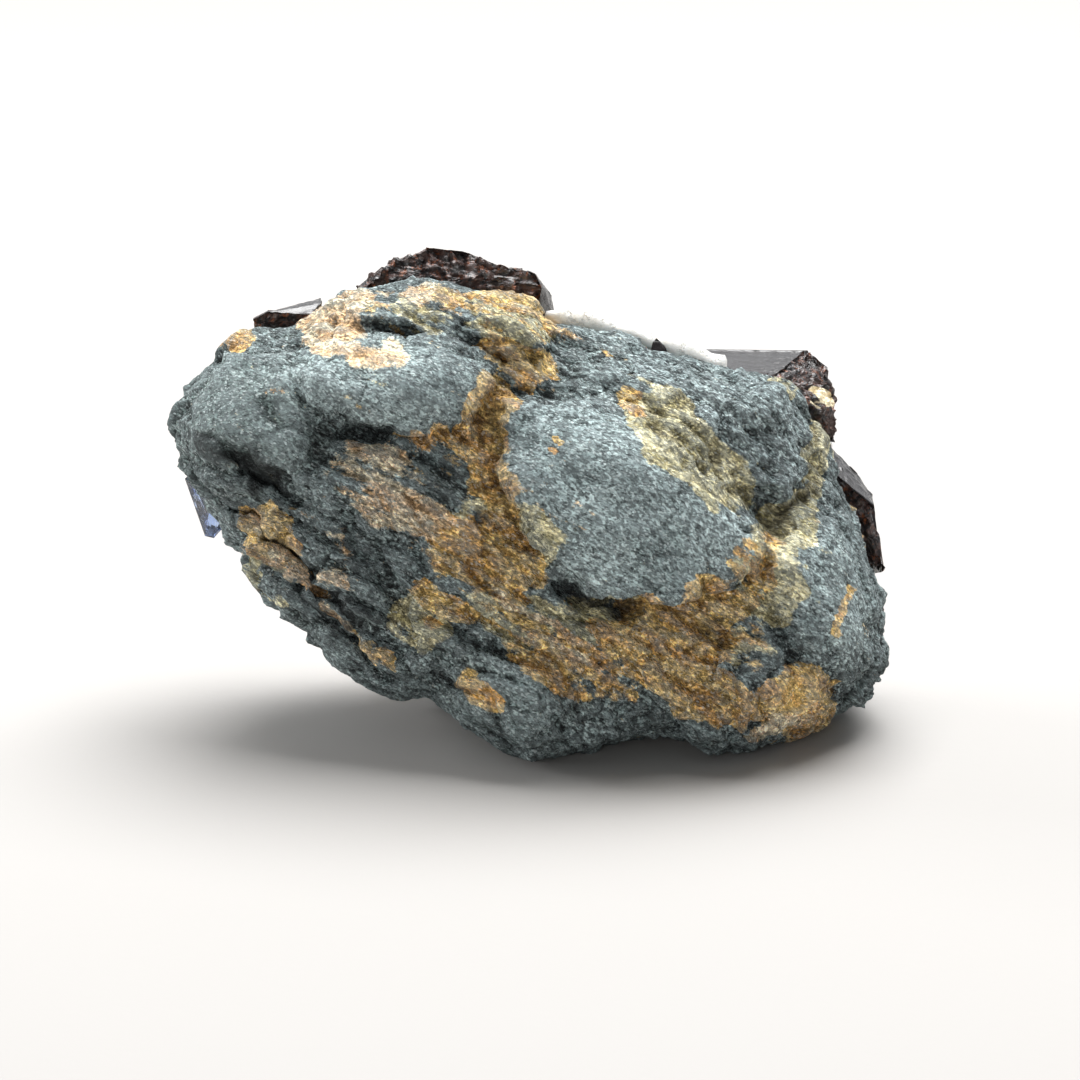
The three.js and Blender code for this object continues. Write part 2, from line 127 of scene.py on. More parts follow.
# Cracks and bedding steps: half width, depth, and a line of u, v points.
CRACKS = (
    (0.55, 1.3, ((-23.6, 12.4), (-20.6, 11.6), (-17.4, 11.8), (-14.6, 13.0))),
    (1.1, 3.4, ((1.0, -3.6), (4.4, -6.6), (8.3, -7.6), (12.2, -7.2))),
    (1.0, 1.8, ((-35.0, 11.0), (-32.2, 9.2), (-29.4, 7.6), (-26.7, 5.4))),
    (0.8, 2.8, ((-35.0, 5.0), (-31.1, 2.2), (-26.7, -2.2), (-20.0, -8.9), (-15.6, -12.2))),
    (0.8, 1.8, ((-25.6, -5.6), (-23.3, -7.8), (-21.1, -9.1), (-18.7, -11.1))),
    (1.5, 1.8, ((25.0, -0.6), (26.1, 2.2), (28.9, 5.0), (32.2, 6.7))),
    (0.8, 1.8, ((-12.2, -13.9), (-9.4, -15.6), (-5.6, -16.7))),
    (0.7, 1.4, ((-5.6, -16.7), (-4.8, -19.4), (-3.9, -22.2))),
    (0.6, 1.0, ((-21.6, -6.4), (-19.0, -7.0), (-16.8, -8.4))),
    (0.45, 1.3, ((-31.0, -0.6), (-26.4, -5.4), (-20.8, -11.0), (-16.4, -15.2))),
    (0.7, 0.8, ((-6.7, 21.1), (-4.4, 18.9), (-4.8, 15.6), (-6.7, 13.3), (-5.6, 8.9))),
    (0.5, 0.7, ((-20.0, 24.2), (-12.0, 22.0), (-6.0, 20.0))),
)

# Dark pockets of the broken face: middle u, v, half widths, turn in degrees, darkness.
POCKETS = (
    (-30.7, 7.6, 4.6, 1.5, -30, 1.0),
    (-36.0, 10.4, 2.6, 1.2, -40, 0.8),
    (-19.0, -1.0, 2.2, 3.2, 20, 0.3),
    (-19.6, -7.4, 2.6, 0.6, -38, 0.6),
    (19.4, -10.4, 1.8, 1.1, -30, 0.6),
    (-10.0, 6.2, 1.6, 2.4, -20, 0.5),
    (-6.6, 2.4, 1.2, 1.0, 0, 0.7),
    (27.4, 3.4, 2.0, 0.6, 40, 0.6),
)

# The crust's reach over the crystal side at even turns round the rim: 1 is the rim.
CRUST_REACH = np.array((
    0.79, 0.83, 0.93, 0.99, 0.88, 0.8, 0.78, 0.75, 0.76, 0.56, 0.46, 0.4, 0.38, 0.4, 0.46, 0.62,
))
SKIN = 0.45  # gap between the block and the crust
CRUST_THICK = 2.6  # thickness inside
CRUST_EDGE = 1.4  # thickness at the edge
CRUST_GRAIN = 2.4  # size of the grains that it is heaped up in

# The bedding of the schist dips to the right and into the block.
BEDDING_ACROSS = np.array((0.48, 0.84, 0.26))
BEDDING_ALONG = np.array((0.86, -0.5, 0.03))

SLAB_SMOOTH = 0.11  # how much of the roughness is left on worn, smooth places

# Painted light and shade off the slab, darker on the left and at the foot, lighter on the right and upper
# right: middle u, v, half widths, turn in degrees, and by how much.
LIT_AND_SHADED_PATCHES = (
    (-33.0, 12.0, 8.0, 9.0, 20, -0.48),
    (-25.0, -4.0, 9.0, 7.0, -40, -0.2),
    (20.0, 14.0, 12.0, 6.0, -35, 0.7),
    (33.0, -6.0, 7.0, 11.0, -20, 0.3),
    (-12.0, 17.0, 8.0, 4.0, 0, 0.1),
    (0.0, -18.0, 14.0, 4.0, 0, -0.1),
)

# Stains on the broken face: middle u, v, half widths, turn in degrees, strength.
OCHRE = (
    (-2.2, 25.2, 5.6, 3.2, -15, 0.62),
    (-2.6, 19.6, 4.6, 2.2, -22, 1.0),
    (-5.6, 14.2, 2.6, 3.4, -20, 1.0),
    (-6.2, 9.6, 2.6, 5.0, 8, 1.1),
    (-4.0, 4.6, 2.0, 3.2, 15, 0.9),
    (-11.6, 9.4, 3.6, 3.2, -30, 0.5),
    (-6.0, -1.4, 6.6, 3.8, -16, 0.95),
    (-11.0, -6.6, 3.4, 3.0, -50, 0.62),
    (-2.0, -8.4, 9.0, 3.0, -24, 0.58),
    (5.0, -14.0, 8.0, 3.0, -14, 0.72),
    (13.6, -10.6, 8.0, 3.8, -8, 0.92),
    (18.6, -6.8, 5.0, 2.4, 8, 1.0),
    (17.8, -16.6, 7.0, 2.4, -18, 0.95),
    (23.4, -3.4, 3.0, 4.2, -20, 0.6),
    (28.2, -17.8, 4.4, 4.0, 0, 1.15),
    (22.2, -11.0, 3.6, 2.2, -60, 0.6),
    (-29.8, 0.6, 2.2, 4.2, 42, 1.1),
    (-6.6, -16.4, 3.0, 1.7, -40, 0.95),
    (-33.8, 22.6, 2.2, 1.9, 0, 1.1),
    (10.0, 15.0, 1.5, 1.3, -40, 1.0),
    (33.0, -7.8, 0.6, 3.2, -12, 0.7),
    (-15.0, 24.6, 6.0, 1.6, -10, 0.42),
    (-10.4, 26.4, 6.0, 1.1, -6, 0.46),
    (-10.0, 21.6, 3.4, 1.0, -30, 0.5),
    (-25.5, -4.6, 7.0, 0.5, -44, 0.8),
    (-17.6, -12.4, 4.0, 0.5, -36, 0.8),
    (1.7, 11.0, 0.7, 0.4, -40, 1.3),
    (0.7, 9.6, 0.5, 0.4, 0, 1.3),
    (-2.6, 3.2, 0.5, 0.8, 20, 1.0),
)
OLIVE = (
    (15.6, 9.8, 8.2, 3.0, -43, 1.3),
    (11.0, 13.8, 2.8, 2.0, -50, 1.2),
    (20.6, 6.2, 2.8, 2.2, -30, 1.2),
    (27.0, 1.6, 5.0, 2.8, 50, 1.0),
    (30.4, 9.0, 1.5, 4.4, -6, 0.95),
    (27.6, 17.6, 2.4, 1.5, -20, 0.8),
    (-4.4, 0.6, 7.4, 4.0, -12, 0.9),
    (24.6, -5.2, 4.2, 4.4, -50, 0.85),
    (12.0, -9.6, 12.0, 3.2, -8, 0.7),
    (2.0, -10.0, 9.0, 3.4, -20, 0.55),
    (-13.0, -9.0, 3.4, 4.0, -30, 0.7),
    (-3.0, 24.4, 5.0, 3.0, -12, 0.75),
    (-12.4, 23.6, 4.6, 1.6, -24, 0.4),
    (-30.0, -3.6, 3.0, 2.0, -45, 0.5),
)
CREAM = (
    (-22.8, 24.0, 3.4, 3.4, -30, 1.05),
    (-20.6, 21.4, 4.2, 1.9, -30, 0.85),
    (-16.0, 20.4, 2.4, 1.2, -10, 0.7),
    (-22.0, 26.4, 3.4, 1.4, 0, 0.7),
    (-14.6, 27.0, 4.0, 1.0, -8, 0.5),
    (25.4, -20.4, 3.2, 1.1, 12, 0.9),
    (-0.6, -8.0, 5.4, 0.5, -32, 0.8),
    (-16.7, 5.6, 7.0, 4.4, -25, 0.72),
    (-13.0, 3.8, 4.0, 2.2, -30, 0.65),
    (-23.0, -2.0, 4.0, 2.2, -40, 0.45),
    (3.4, -12.4, 4.4, 0.5, -26, 0.5),
    (-23.4, -7.2, 6.0, 0.45, -44, 0.62),
    (-29.6, -0.4, 4.0, 0.4, -46, 0.6),
)

# The neptunites set in the block, those grown on the crust, and the benitoites.
LODGED = ("neptunite_crest", "neptunite_left", "neptunite_point", "neptunite_right",
          "neptunite_flank", "neptunite_low")
GROWN = ("neptunite_bar", "neptunite_cross", "neptunite_stub")
GEMS = ("benitoite_large", "benitoite_upper", "benitoite_lower", "benitoite_right",
        "benitoite_small", "benitoite_edge")


def linear(red, green, blue):
    """An 8-bit display colour as the linear one that shaders take."""
    share = np.array((red, green, blue)) / 255
    low = share / 12.92
    high = ((share + 0.055) / 1.055) ** 2.4
    return np.where(share <= 0.04045, low, high).tolist()


# Numbers over a surface


def smooth(x):
    """0 below 0, 1 above 1, and an S-shaped rise between."""
    t = np.clip(x, 0.0, 1.0)
    return t * t * (3 - 2 * t)


def upright(face):
    """Points u, v, w of the leaning block in the upright frame, still in millimetres."""
    u, v, w = face[..., 0], face[..., 1], face[..., 2]
    y = v * np.sin(LEAN) + w * np.cos(LEAN)
    z = v * np.cos(LEAN) - w * np.sin(LEAN) - FLOOR
    return np.stack((u, y, z), axis=-1)


def turned(direction):
    """A direction in u, v, w as one in the upright frame."""
    return upright(direction) - upright(np.zeros(3))


def to_face(points):
    """Upright points, in millimetres, as u, v, w of the leaning block."""
    x, y, z = points[..., 0], points[..., 1], points[..., 2] + FLOOR
    v = y * np.sin(LEAN) + z * np.cos(LEAN)
    w = y * np.cos(LEAN) - z * np.sin(LEAN)
    return np.stack((x, v, w), axis=-1)


GRADIENTS = np.random.default_rng(7).normal(size=(256, 3))
GRADIENTS /= np.linalg.norm(GRADIENTS, axis=1, keepdims=True)


def hashed(cell, seed):
    """A fixed number from 0 to 255 for each whole-numbered cell."""
    mixed = (cell[..., 0] * 73856093) ^ (cell[..., 1] * 19349663) ^ (cell[..., 2] * 83492791)
    mixed = (mixed ^ (seed * 2654435761)) & 0xFFFFFFFF
    mixed = ((mixed ^ (mixed >> 13)) * 1274126177) & 0xFFFFFFFF
    return (mixed ^ (mixed >> 16)) & 255


def noise(points, size, seed=0):
    """Gradient noise from about -1 to 1: at each corner of the cell of the given size round a
    point, a fixed slope times the offset from that corner, blended by quintic weights."""
    place = points / size + seed * 17.31
    cell = np.floor(place).astype(np.int64)
    offset = place - cell
    weight = offset ** 3 * (offset * (offset * 6 - 15) + 10)
    total = np.zeros(points.shape[:-1])
    for corner in np.ndindex(2, 2, 2):
        step = np.array(corner)
        slope = GRADIENTS[hashed(cell + step, seed)]
        share = np.prod(np.where(step == 1, weight, 1 - weight), axis=-1)
        total += share * np.sum(slope * (offset - step), axis=-1)
    return total * 1.7


def layered(points, size, layers, seed=0, fade=0.5):
    """Noise at the given size, plus itself at half the size and less height, and so on."""
    total = np.zeros(points.shape[:-1])
    for layer in range(layers):
        total += fade ** layer * noise(points, size / 2.03 ** layer, seed + layer)
    return total


def scattered(cell, seed):
    """A fixed place in each whole-numbered cell, as shares of its sides."""
    return np.stack([hashed(cell, seed + k) for k in range(3)], axis=-1) / 255


def wandering(face, amount, size, layers, seed):
    """Points moved about by noise of the given size, each way by about the given amount."""
    return face + amount * np.stack([layered(face, size, layers, seed + k) for k in range(3)], axis=-1)


def chips(points, size, seed=0):
    """Distance to the nearest of one scattered point per cell, as a share of the cell size."""
    place = points / size
    cell = np.floor(place).astype(np.int64)
    nearest = np.full(points.shape[:-1], 9.0)
    for step in np.ndindex(3, 3, 3):
        other = cell + np.array(step) - 1
        spot = other + scattered(other, seed)
        nearest = np.minimum(nearest, np.linalg.norm(place - spot, axis=-1))
    return nearest


def facets(points, size, seed=0, ease=0.14):
    """Broken facets: one scattered point per cell has its own level and slope, and each place
    takes those of the nearest one, eased into the next nearest one's near the seam. Returns the
    height as a share of the size, and how far the seam is."""
    place = points / size
    cell = np.floor(place).astype(np.int64)
    nearest = np.full(points.shape[:-1], 9.0)
    second = nearest.copy()
    level, next_level = np.zeros_like(nearest), np.zeros_like(nearest)
    for step in np.ndindex(3, 3, 3):
        other = cell + np.array(step) - 1
        offset = place - (other + scattered(other, seed))
        distance = np.linalg.norm(offset, axis=-1)
        slope = GRADIENTS[hashed(other, seed + 5)]
        height = np.sum(slope * offset, axis=-1) + hashed(other, seed + 6) / 255 - 0.5
        closer = distance < nearest
        between = ~closer & (distance < second)
        next_level = np.where(closer, level, np.where(between, height, next_level))
        second = np.where(closer, nearest, np.where(between, distance, second))
        level = np.where(closer, height, level)
        nearest = np.where(closer, distance, nearest)
    seam = second - nearest
    return level + 0.5 * (next_level - level) * (1 - smooth(seam / ease)), seam


def along_bedding(points, stretch):
    """Points squeezed along the bedding, so that noise read there runs out in that direction."""
    across = BEDDING_ACROSS / np.linalg.norm(BEDDING_ACROSS)
    along = BEDDING_ALONG / np.linalg.norm(BEDDING_ALONG)
    third = np.cross(across, along)
    return np.stack((points @ across, points @ along / stretch, points @ third / stretch * 1.4), -1)


def ellipse_share(face, ellipse):
    """How far points lie from the middle of a turned ellipse, where 1 is its edge."""
    middle_u, middle_v, half_u, half_v, turn = ellipse[:5]
    angle = np.radians(turn)
    du = face[..., 0] - middle_u
    dv = face[..., 1] - middle_v
    along = (du * np.cos(angle) + dv * np.sin(angle)) / half_u
    across = (dv * np.cos(angle) - du * np.sin(angle)) / half_v
    return np.hypot(along, across)


def crack_shade_and_dark_pockets(face):
    """Painted shade in the broken face's cracks, and the darkness of its dark pockets, 0 away from them and
    on the far side.
    """
    wander = wandering(face, 0.35, 1.6, 2, 300)
    dark = np.zeros(len(face))
    for width, depth, line in CRACKS:
        share = line_distance(wander, line) / (0.65 * width)
        # Painted shade along each crack, darker for a deeper one and fading towards its ends.
        dark = np.maximum(dark, min(1.0, depth / 2.4) * smooth(1.3 - share) * tapered(face, line))
    broken_up = 0.5 * layered(along_bedding(face, 3.0), 1.2, 3, 310)
    for pocket in POCKETS:
        share = ellipse_share(wander, pocket) + broken_up
        dark = np.maximum(dark, pocket[5] * smooth((1.25 - share) / 0.5))
    return dark * smooth((8.0 - face[:, 2]) / 2.0)


def line_distance(face, line):
    """Distance of points from a line of u, v corners."""
    nearest = np.full(face.shape[:-1], np.inf)
    for (u0, v0), (u1, v1) in zip(line[:-1], line[1:]):
        du, dv = u1 - u0, v1 - v0
        share = ((face[..., 0] - u0) * du + (face[..., 1] - v0) * dv) / (du * du + dv * dv)
        t = np.clip(share, 0, 1)
        nearest = np.minimum(nearest, np.hypot(face[..., 0] - u0 - t * du, face[..., 1] - v0 - t * dv))
    return nearest


def tapered(face, line):
    """0 at the two ends of a line and 1 a few millimetres away from them."""
    ends = [np.hypot(face[..., 0] - u, face[..., 1] - v) for u, v in (line[0], line[-1])]
    return smooth((np.minimum(*ends) + 0.3) / 3.2)


def depth_inside(face, outline):
    """Distance inside a closed outline of u, v corners, negative outside it."""
    closed = (*outline, outline[0])
    nearest = line_distance(face, closed)
    inside = np.zeros(face.shape[:-1], bool)
    for (u0, v0), (u1, v1) in zip(closed[:-1], closed[1:]):
        if v0 == v1:
            continue
        spans = (v0 > face[..., 1]) != (v1 > face[..., 1])
        crossing = u0 + (face[..., 1] - v0) / (v1 - v0) * (u1 - u0)
        inside ^= spans & (face[..., 0] < crossing)
    return np.where(inside, nearest, -nearest)


# The block's form


def rim_at(turn):
    """The rim at a share of the way round it: a Catmull-Rom curve through its points."""
    place = (turn % 1.0) * len(RIM)
    start = np.floor(place).astype(int)
    t = (place - start)[..., None]
    before, here, after, beyond = (RIM[(start + k) % len(RIM)] for k in (-1, 0, 1, 2))
    slope_here = (after - before) / 2
    slope_after = (beyond - here) / 2
    cubic = 2 * here - 2 * after + slope_here + slope_after
    square = 3 * after - 3 * here - 2 * slope_here - slope_after
    return ((cubic * t + square) * t + slope_here) * t + here


def section_share(side, reach):
    """Sideways share at a reach along the section |share|^p + |bulge|^p = 1, by arc length."""
    angle = np.linspace(0, np.pi / 2, 800)
    share = np.sin(angle) ** (2 / side["fullness"])
    bulge = np.cos(angle) ** (2 / side["fullness"])
    steps = np.hypot(np.diff(share) * SECTION[0], np.diff(bulge) * SECTION[1])
    length = np.concatenate(([0.0], np.cumsum(steps)))
    return np.interp(reach, length / length[-1], share)


def face_relief(face):
    """Height of the broken face's forms above its plain bulge."""
    wander = wandering(face, 0.5, 3.0, 1, 40)
    height = SLAB_HEIGHT * smooth(depth_inside(wander, SLAB_RIM) / SLAB_EDGE + 0.5)
    for lump in LUMPS:
        share = np.minimum(ellipse_share(face, lump), 1)
        height += lump[5] * (1 - share ** 2) ** LUMP_EDGE
    for hollow in HOLLOWS:
        height -= hollow[5] * np.exp(-2 * ellipse_share(wander, hollow) ** 2)
    for width, depth, line in CRACKS:
        height -= depth * np.exp(-((line_distance(wander, line) / width) ** 2)) * tapered(face, line)
    return height


def unevenness(face):
    """Low waves all over the block."""
    u, v, w = face[..., 0], face[..., 1], face[..., 2]
    first = np.sin(0.55 * u + 0.3 * v + 1.0) * np.cos(0.48 * v - 0.35 * w)
    second = np.sin(0.42 * w + 0.62 * v + 2.0) * np.cos(0.36 * u + 0.5)
    return 0.32 * first + 0.28 * second


def block_points(side, reach, turn):
    """A side of the block: from the middle the section runs out to the rim at each turn, and
    bulges by the side's depth. The face's forms move it along w."""
    rim = rim_at(turn)
    share = section_share(side, reach)
    flat = MIDDLE + share[..., None] * (rim[..., :2] - MIDDLE)
    bulge = np.maximum(0, 1 - share ** side["fullness"]) ** (1 / side["fullness"])
    depth = side["depth"] + side["tilt"] * flat[..., 1]
    w = rim[..., 2] + (depth - rim[..., 2]) * bulge
    face = np.concatenate((flat, w[..., None]), axis=-1)
    forms = face_relief(face) if side is FACE else 0.0
    face[..., 2] -= (forms - unevenness(face)) * smooth(bulge / 0.55)
    return face


def crystal_side(reach, turn):
    """The crystal side and its outward direction. Past a reach of 1 it laps over the rim."""

    def at(r, t):
        back = block_points(BACK, np.minimum(r, 1.0), t)
        over = block_points(FACE, 2 - np.maximum(r, 1.0), t)
        return upright(np.where((r <= 1)[..., None], back, over))

    step = 0.004
    around = at(reach, turn + step) - at(reach, turn - step)
    outward = at(reach + step, turn) - at(reach - step, turn)
    normal = np.cross(around, outward)
    return at(reach, turn), unit(normal)


# Meshes


def wrapped_grids(cells):
    """Two square grids wrapped on to the near and far sides of a round body, sharing a border.

    A vertex's reach is its ring's share of the way to the border, and its turn is its place
    round that ring. Returns reach, turn, which vertices are on the far side, and the quads.
    """
    count = cells + 1
    x, y = np.meshgrid(np.arange(count) - cells / 2, np.arange(count) - cells / 2, indexing="ij")
    ring = np.maximum(np.abs(x), np.abs(y))
    safe = np.maximum(ring, 1e-9)
    eighths = np.select(
        (x == ring, y == ring, -x == ring),
        (8 + y / safe, 2 - x / safe, 4 - y / safe),
        6 + x / safe,
    )
    reach = ring / (cells / 2)
    turn = (eighths % 8) / 8
    near = np.arange(count * count).reshape(count, count)
    far = near.copy()
    inner = np.zeros((count, count), bool)
    inner[1:-1, 1:-1] = True
    far[inner] = count * count + np.arange(inner.sum())
    quads = []
    for grid, order in ((near, (0, 1, 2, 3)), (far, (0, 3, 2, 1))):
        corners = (grid[:-1, :-1], grid[1:, :-1], grid[1:, 1:], grid[:-1, 1:])
        quads.append(np.stack([corners[k].ravel() for k in order], axis=-1))
    reach = np.concatenate((reach.ravel(), reach[inner]))
    turn = np.concatenate((turn.ravel(), turn[inner]))
    is_far = np.arange(len(reach)) >= count * count
    return reach, turn, is_far, np.concatenate(quads)


def unit(vectors):
    """Vectors made one long."""
    return vectors / np.maximum(np.linalg.norm(vectors, axis=-1, keepdims=True), 1e-12)


def normals_of(points, quads):
    """The direction out of each vertex: the sum of the cross products of its quads' diagonals."""
    first, second, third, fourth = (points[quads[:, corner]] for corner in range(4))
    crossed = np.cross(third - first, fourth - second)
    total = np.zeros_like(points)
    for corner in range(4):
        for axis in range(3):
            total[:, axis] += np.bincount(quads[:, corner], crossed[:, axis], len(points))
    return unit(total)


def blurred(values, quads, rounds):
    """Values averaged with their neighbours along the quads' edges, a number of times."""
    ends = np.concatenate([quads[:, (k, (k + 1) % 4)] for k in range(4)])
    count = np.bincount(ends[:, 0], minlength=len(values)).astype(float)
    for _ in range(rounds):
        values = np.bincount(ends[:, 0], values[ends[:, 1]], len(values)) / count
    return values


def hollowness(points, normals, quads, rounds):
    """How far each vertex lies below the average of its surroundings, in millimetres."""
    average = np.stack([blurred(points[:, k], quads, rounds) for k in range(3)], axis=-1)
    return np.sum((average - points) * normals, axis=1)


def add_piece(name, points, faces, material, replaces=(), attributes=None, flat=False):
    """A new piece at the origin from points in millimetres and an array of faces."""
    corners = faces.shape[1]
    mesh = bpy.data.meshes.new(name)
    mesh.vertices.add(len(points))
    mesh.vertices.foreach_set("co", (points * MM).astype(np.float32).ravel())
    mesh.loops.add(faces.size)
    mesh.loops.foreach_set("vertex_index", faces.astype(np.int32).ravel())
    mesh.polygons.add(len(faces))
    mesh.polygons.foreach_set("loop_start", np.arange(0, faces.size, corners, dtype=np.int32))
    mesh.update(calc_edges=True)
    mesh.validate()
    mesh.polygons.foreach_set("use_smooth", np.full(len(mesh.polygons), not flat))
    for key, values in (attributes or {}).items():
        kind, field = ("FLOAT", "value") if values.ndim == 1 else ("FLOAT_COLOR", "color")
        data = mesh.attributes.new(key, kind, "POINT").data
        data.foreach_set(field, values.astype(np.float32).ravel())
    mesh.materials.append(material)
    piece = bpy.data.objects.new(name, mesh)
    bpy.context.scene.collection.objects.link(piece)
    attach(piece, "root")
    if replaces:
        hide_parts(*replaces)
    return piece


# The pieces' surfaces, in millimetres


def worn(face):
    """1 on the smooth slab and the two lumps at the upper left, less on the other worn lumps and
    0 on broken rock."""
    slab = smooth(depth_inside(face, SLAB_RIM) / 2.0)
    lobe = smooth(1.7 - 1.5 * ellipse_share(face, LUMPS[0]))
    nose = smooth(1.7 - 1.5 * ellipse_share(face, LUMPS[1]))
    rounded = [0.75 * smooth(1.6 - 1.4 * ellipse_share(face, LUMPS[k])) for k in HALF_WORN]
    return np.maximum.reduce((slab, lobe, nose, *rounded))


# The broken texture, in millimetres: the facets' sizes, heights and how far they are drawn out
# along the bedding, the ledges' distance and heights, and the pits' size and depth.
LARGE_FACETS = {"size": 3.4, "height": 0.95, "stretch": 2.0}
SMALL_FACETS = {"size": 1.5, "height": 0.36, "stretch": 2.3}
LEDGE_STEP = 2.1
LEDGE_HEIGHT = 0.45
LEDGE_HEIGHT_STRONG = 1.3
SEAM_DEPTH = 0.4
PIT_SIZE = 1.1
PIT_DEPTH = 0.5
WAVE_HEIGHT = 0.36
GRAIN_HEIGHT = 0.09
# Rock beside a crystal set in it: how far out it is lowered, and by how much.
BESIDE_CRYSTAL = 1.6
BESIDE_DEPTH = 0.4


def rock_detail(face, roughness):
    """Height of the broken texture: facets of two sizes drawn out along the bedding, thin ledges
    that are strongest along LEDGES, pits, long waves and fine grains."""
    rough = 1 - (1 - SLAB_SMOOTH) * worn(face)
    bend = 0.9 * noise(face, 9.0, 3)[:, None] * BEDDING_ACROSS
    bedded = along_bedding(face + bend, 2.8)
    drawn = along_bedding(face + 2 * bend, LARGE_FACETS["stretch"])
    large, seam = facets(drawn, LARGE_FACETS["size"], 200)
    small, _ = facets(along_bedding(face + bend, SMALL_FACETS["stretch"]), SMALL_FACETS["size"], 220, 0.3)
    patch = smooth(0.55 + 0.9 * noise(face, 10.0, 5))
    rise = (bedded[:, 0] + 0.5 * noise(face, 4.0, 6)) / LEDGE_STEP
    ledge = (rise % 1.0) - smooth((rise % 1.0 - 0.8) / 0.2)
    ledged = np.maximum.reduce([smooth(1.5 - ellipse_share(face, ledges)) for ledges in LEDGES])
    pits = smooth((noise(bedded, PIT_SIZE, 13) - 0.25) / 0.35) * smooth(0.6 + noise(face, 7.0, 14))
    broken = LARGE_FACETS["height"] * large + SMALL_FACETS["height"] * small
    stepped = LEDGE_HEIGHT * ledge - SEAM_DEPTH * smooth(1 - seam / 0.1)
    return roughness * (
        WAVE_HEIGHT * layered(face, 7.5, 2, 20)
        + rough * (broken + 0.2 * layered(bedded, 1.7, 2, 24))
        + rough * patch * stepped + LEDGE_HEIGHT_STRONG * ledged * ledge
        - PIT_DEPTH * rough * pits
        + GRAIN_HEIGHT * layered(face, 0.8, 2, 30)
    )


def stain(face, bedded, ellipses, seed):
    """Cover of a stain from 0 to 1: each ellipse's strength with a ragged edge, broken up into
    streaks along the bedding where it is weak."""
    wander = wandering(face, 1.0, 4.5, 3, seed)
    cover = np.zeros(len(face))
    for ellipse in ellipses:
        share = ellipse_share(wander, ellipse)
        cover = np.maximum(cover, ellipse[5] * smooth((1.35 - share) / 0.6))
    cover *= smooth((9.0 - face[:, 2]) / 4.0)
    streaks = layered(bedded, 1.6, 3, seed + 5)
    return smooth((cover + 0.46 * streaks - 0.16) / 0.7)


def rock_surface(cells, roughness):
    """The block: two wrapped grids with its forms, its texture moved along the normals and sunk
    beside the crystals set in it, and a flat resting patch on the floor.

    Stain holds the cover of ochre, olive and cream, and as its fourth channel the painted shade in hollows
    and cracks together with the dark pockets; raised the parts that stand up, which the material lightens as
    a painted highlight; worn the smooth ones; slab the slab; and pale how light the stone is: paler on the
    slab, partly its own tone and partly painted light, with patches of painted light and shade elsewhere.
    """
    reach, turn, is_far, quads = wrapped_grids(cells)
    near, far = block_points(FACE, reach, turn), block_points(BACK, reach, turn)
    face = np.where(is_far[:, None], far, near)
    points = upright(face)
    normals = normals_of(points, quads)
    beside = 1 - smooth(gap_to(points, LODGED) / BESIDE_CRYSTAL)
    height = rock_detail(face, roughness) * (1 - beside) - BESIDE_DEPTH * beside
    points += normals * height[:, None]
    points[:, 2] = np.maximum(points[:, 2], 0.0)
    normals = normals_of(points, quads)
    hollow = hollowness(points, normals, quads, 5)
    deep = hollowness(points, normals, quads, 60)
    bedded = along_bedding(face, 6.0)
    ochre = stain(face, bedded, OCHRE, 50)
    hidden = smooth((face[:, 2] - 1.0) / 3.0) * smooth((noise(face, 12.0, 90) - 0.1) / 0.4)
    ochre = np.maximum(ochre, 0.7 * hidden * smooth(0.5 + layered(bedded, 1.6, 3, 91)))
    # Painted shade: darker in small and broad hollows, then the cracks' painted shade and the dark pockets.
    dark = smooth((hollow - 0.05) / 0.3) * 0.5 + smooth((deep - 0.5) / 1.2) * 0.2
    dark = np.maximum(dark, crack_shade_and_dark_pockets(face))
    stains = np.stack((ochre, stain(face, bedded, OLIVE, 60), stain(face, bedded, CREAM, 70), dark), -1)
    # The raised parts, which the material lightens as a painted highlight.
    raised = smooth(0.5 - hollow / 0.22)
    # Paler on the slab, partly its own tone and partly painted light; off it, patches of painted light and
    # shade.
    slab = smooth(0.5 + depth_inside(face, SLAB_RIM) / 3.0)
    pale = 0.53 + 0.33 * slab
    for tone in LIT_AND_SHADED_PATCHES:
        pale += tone[5] * (1 - slab) * smooth(1.5 - ellipse_share(face, tone)) * ~is_far
    pale = np.clip(pale, 0, 1)
    return points, quads, {"stain": stains, "raised": raised, "worn": worn(face), "slab": slab, "pale": pale}


def planes_of(node):
    """A convex CAD node's corners in millimetres, as triangles, and its faces' planes."""
    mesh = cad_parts[node].data
    places = np.empty(len(mesh.vertices) * 3, np.float32)
    mesh.vertices.foreach_get("co", places)
    order = np.empty(len(mesh.loops), np.int32)
    mesh.loops.foreach_get("vertex_index", order)
    triangles = (places.reshape(-1, 3) / MM).astype(float)[order].reshape(-1, 3, 3)
    normals = np.cross(triangles[:, 1] - triangles[:, 0], triangles[:, 2] - triangles[:, 0])
    normals /= np.linalg.norm(normals, axis=1, keepdims=True)
    offsets = np.sum(normals * triangles[:, 0], axis=1)
    planes = np.unique(np.round(np.column_stack((normals, offsets)), 2), axis=0)
    return triangles, planes


def outside(points, planes):
    """Distance of points beyond the farthest of a crystal's planes, negative inside it."""
    return np.max(points @ planes[:, :3].T - planes[:, 3], axis=1)


def gap_to(points, nodes):
    """Distance of points from the nearest of some crystals, negative inside one."""
    return np.min([outside(points, planes_of(node)[1]) for node in nodes], axis=0)


def crust_reach(turn):
    """The crust's reach at a turn: a smooth wave through its even steps."""
    place = (turn % 1.0) * len(CRUST_REACH)
    start = np.floor(place).astype(int)
    here, after = (CRUST_REACH[(start + k) % len(CRUST_REACH)] for k in (0, 1))
    return here + (after - here) * smooth(place - start)


def crust_thickness(reach):
    """The crust's thickness, which falls towards its edge."""
    return CRUST_EDGE + (CRUST_THICK - CRUST_EDGE) * smooth((1 - reach) / 0.4)


def crust_grains(place):
    """Height of the crust's large rounded grains."""
    return 0.7 * (0.6 - chips(place, CRUST_GRAIN, 101) ** 2)


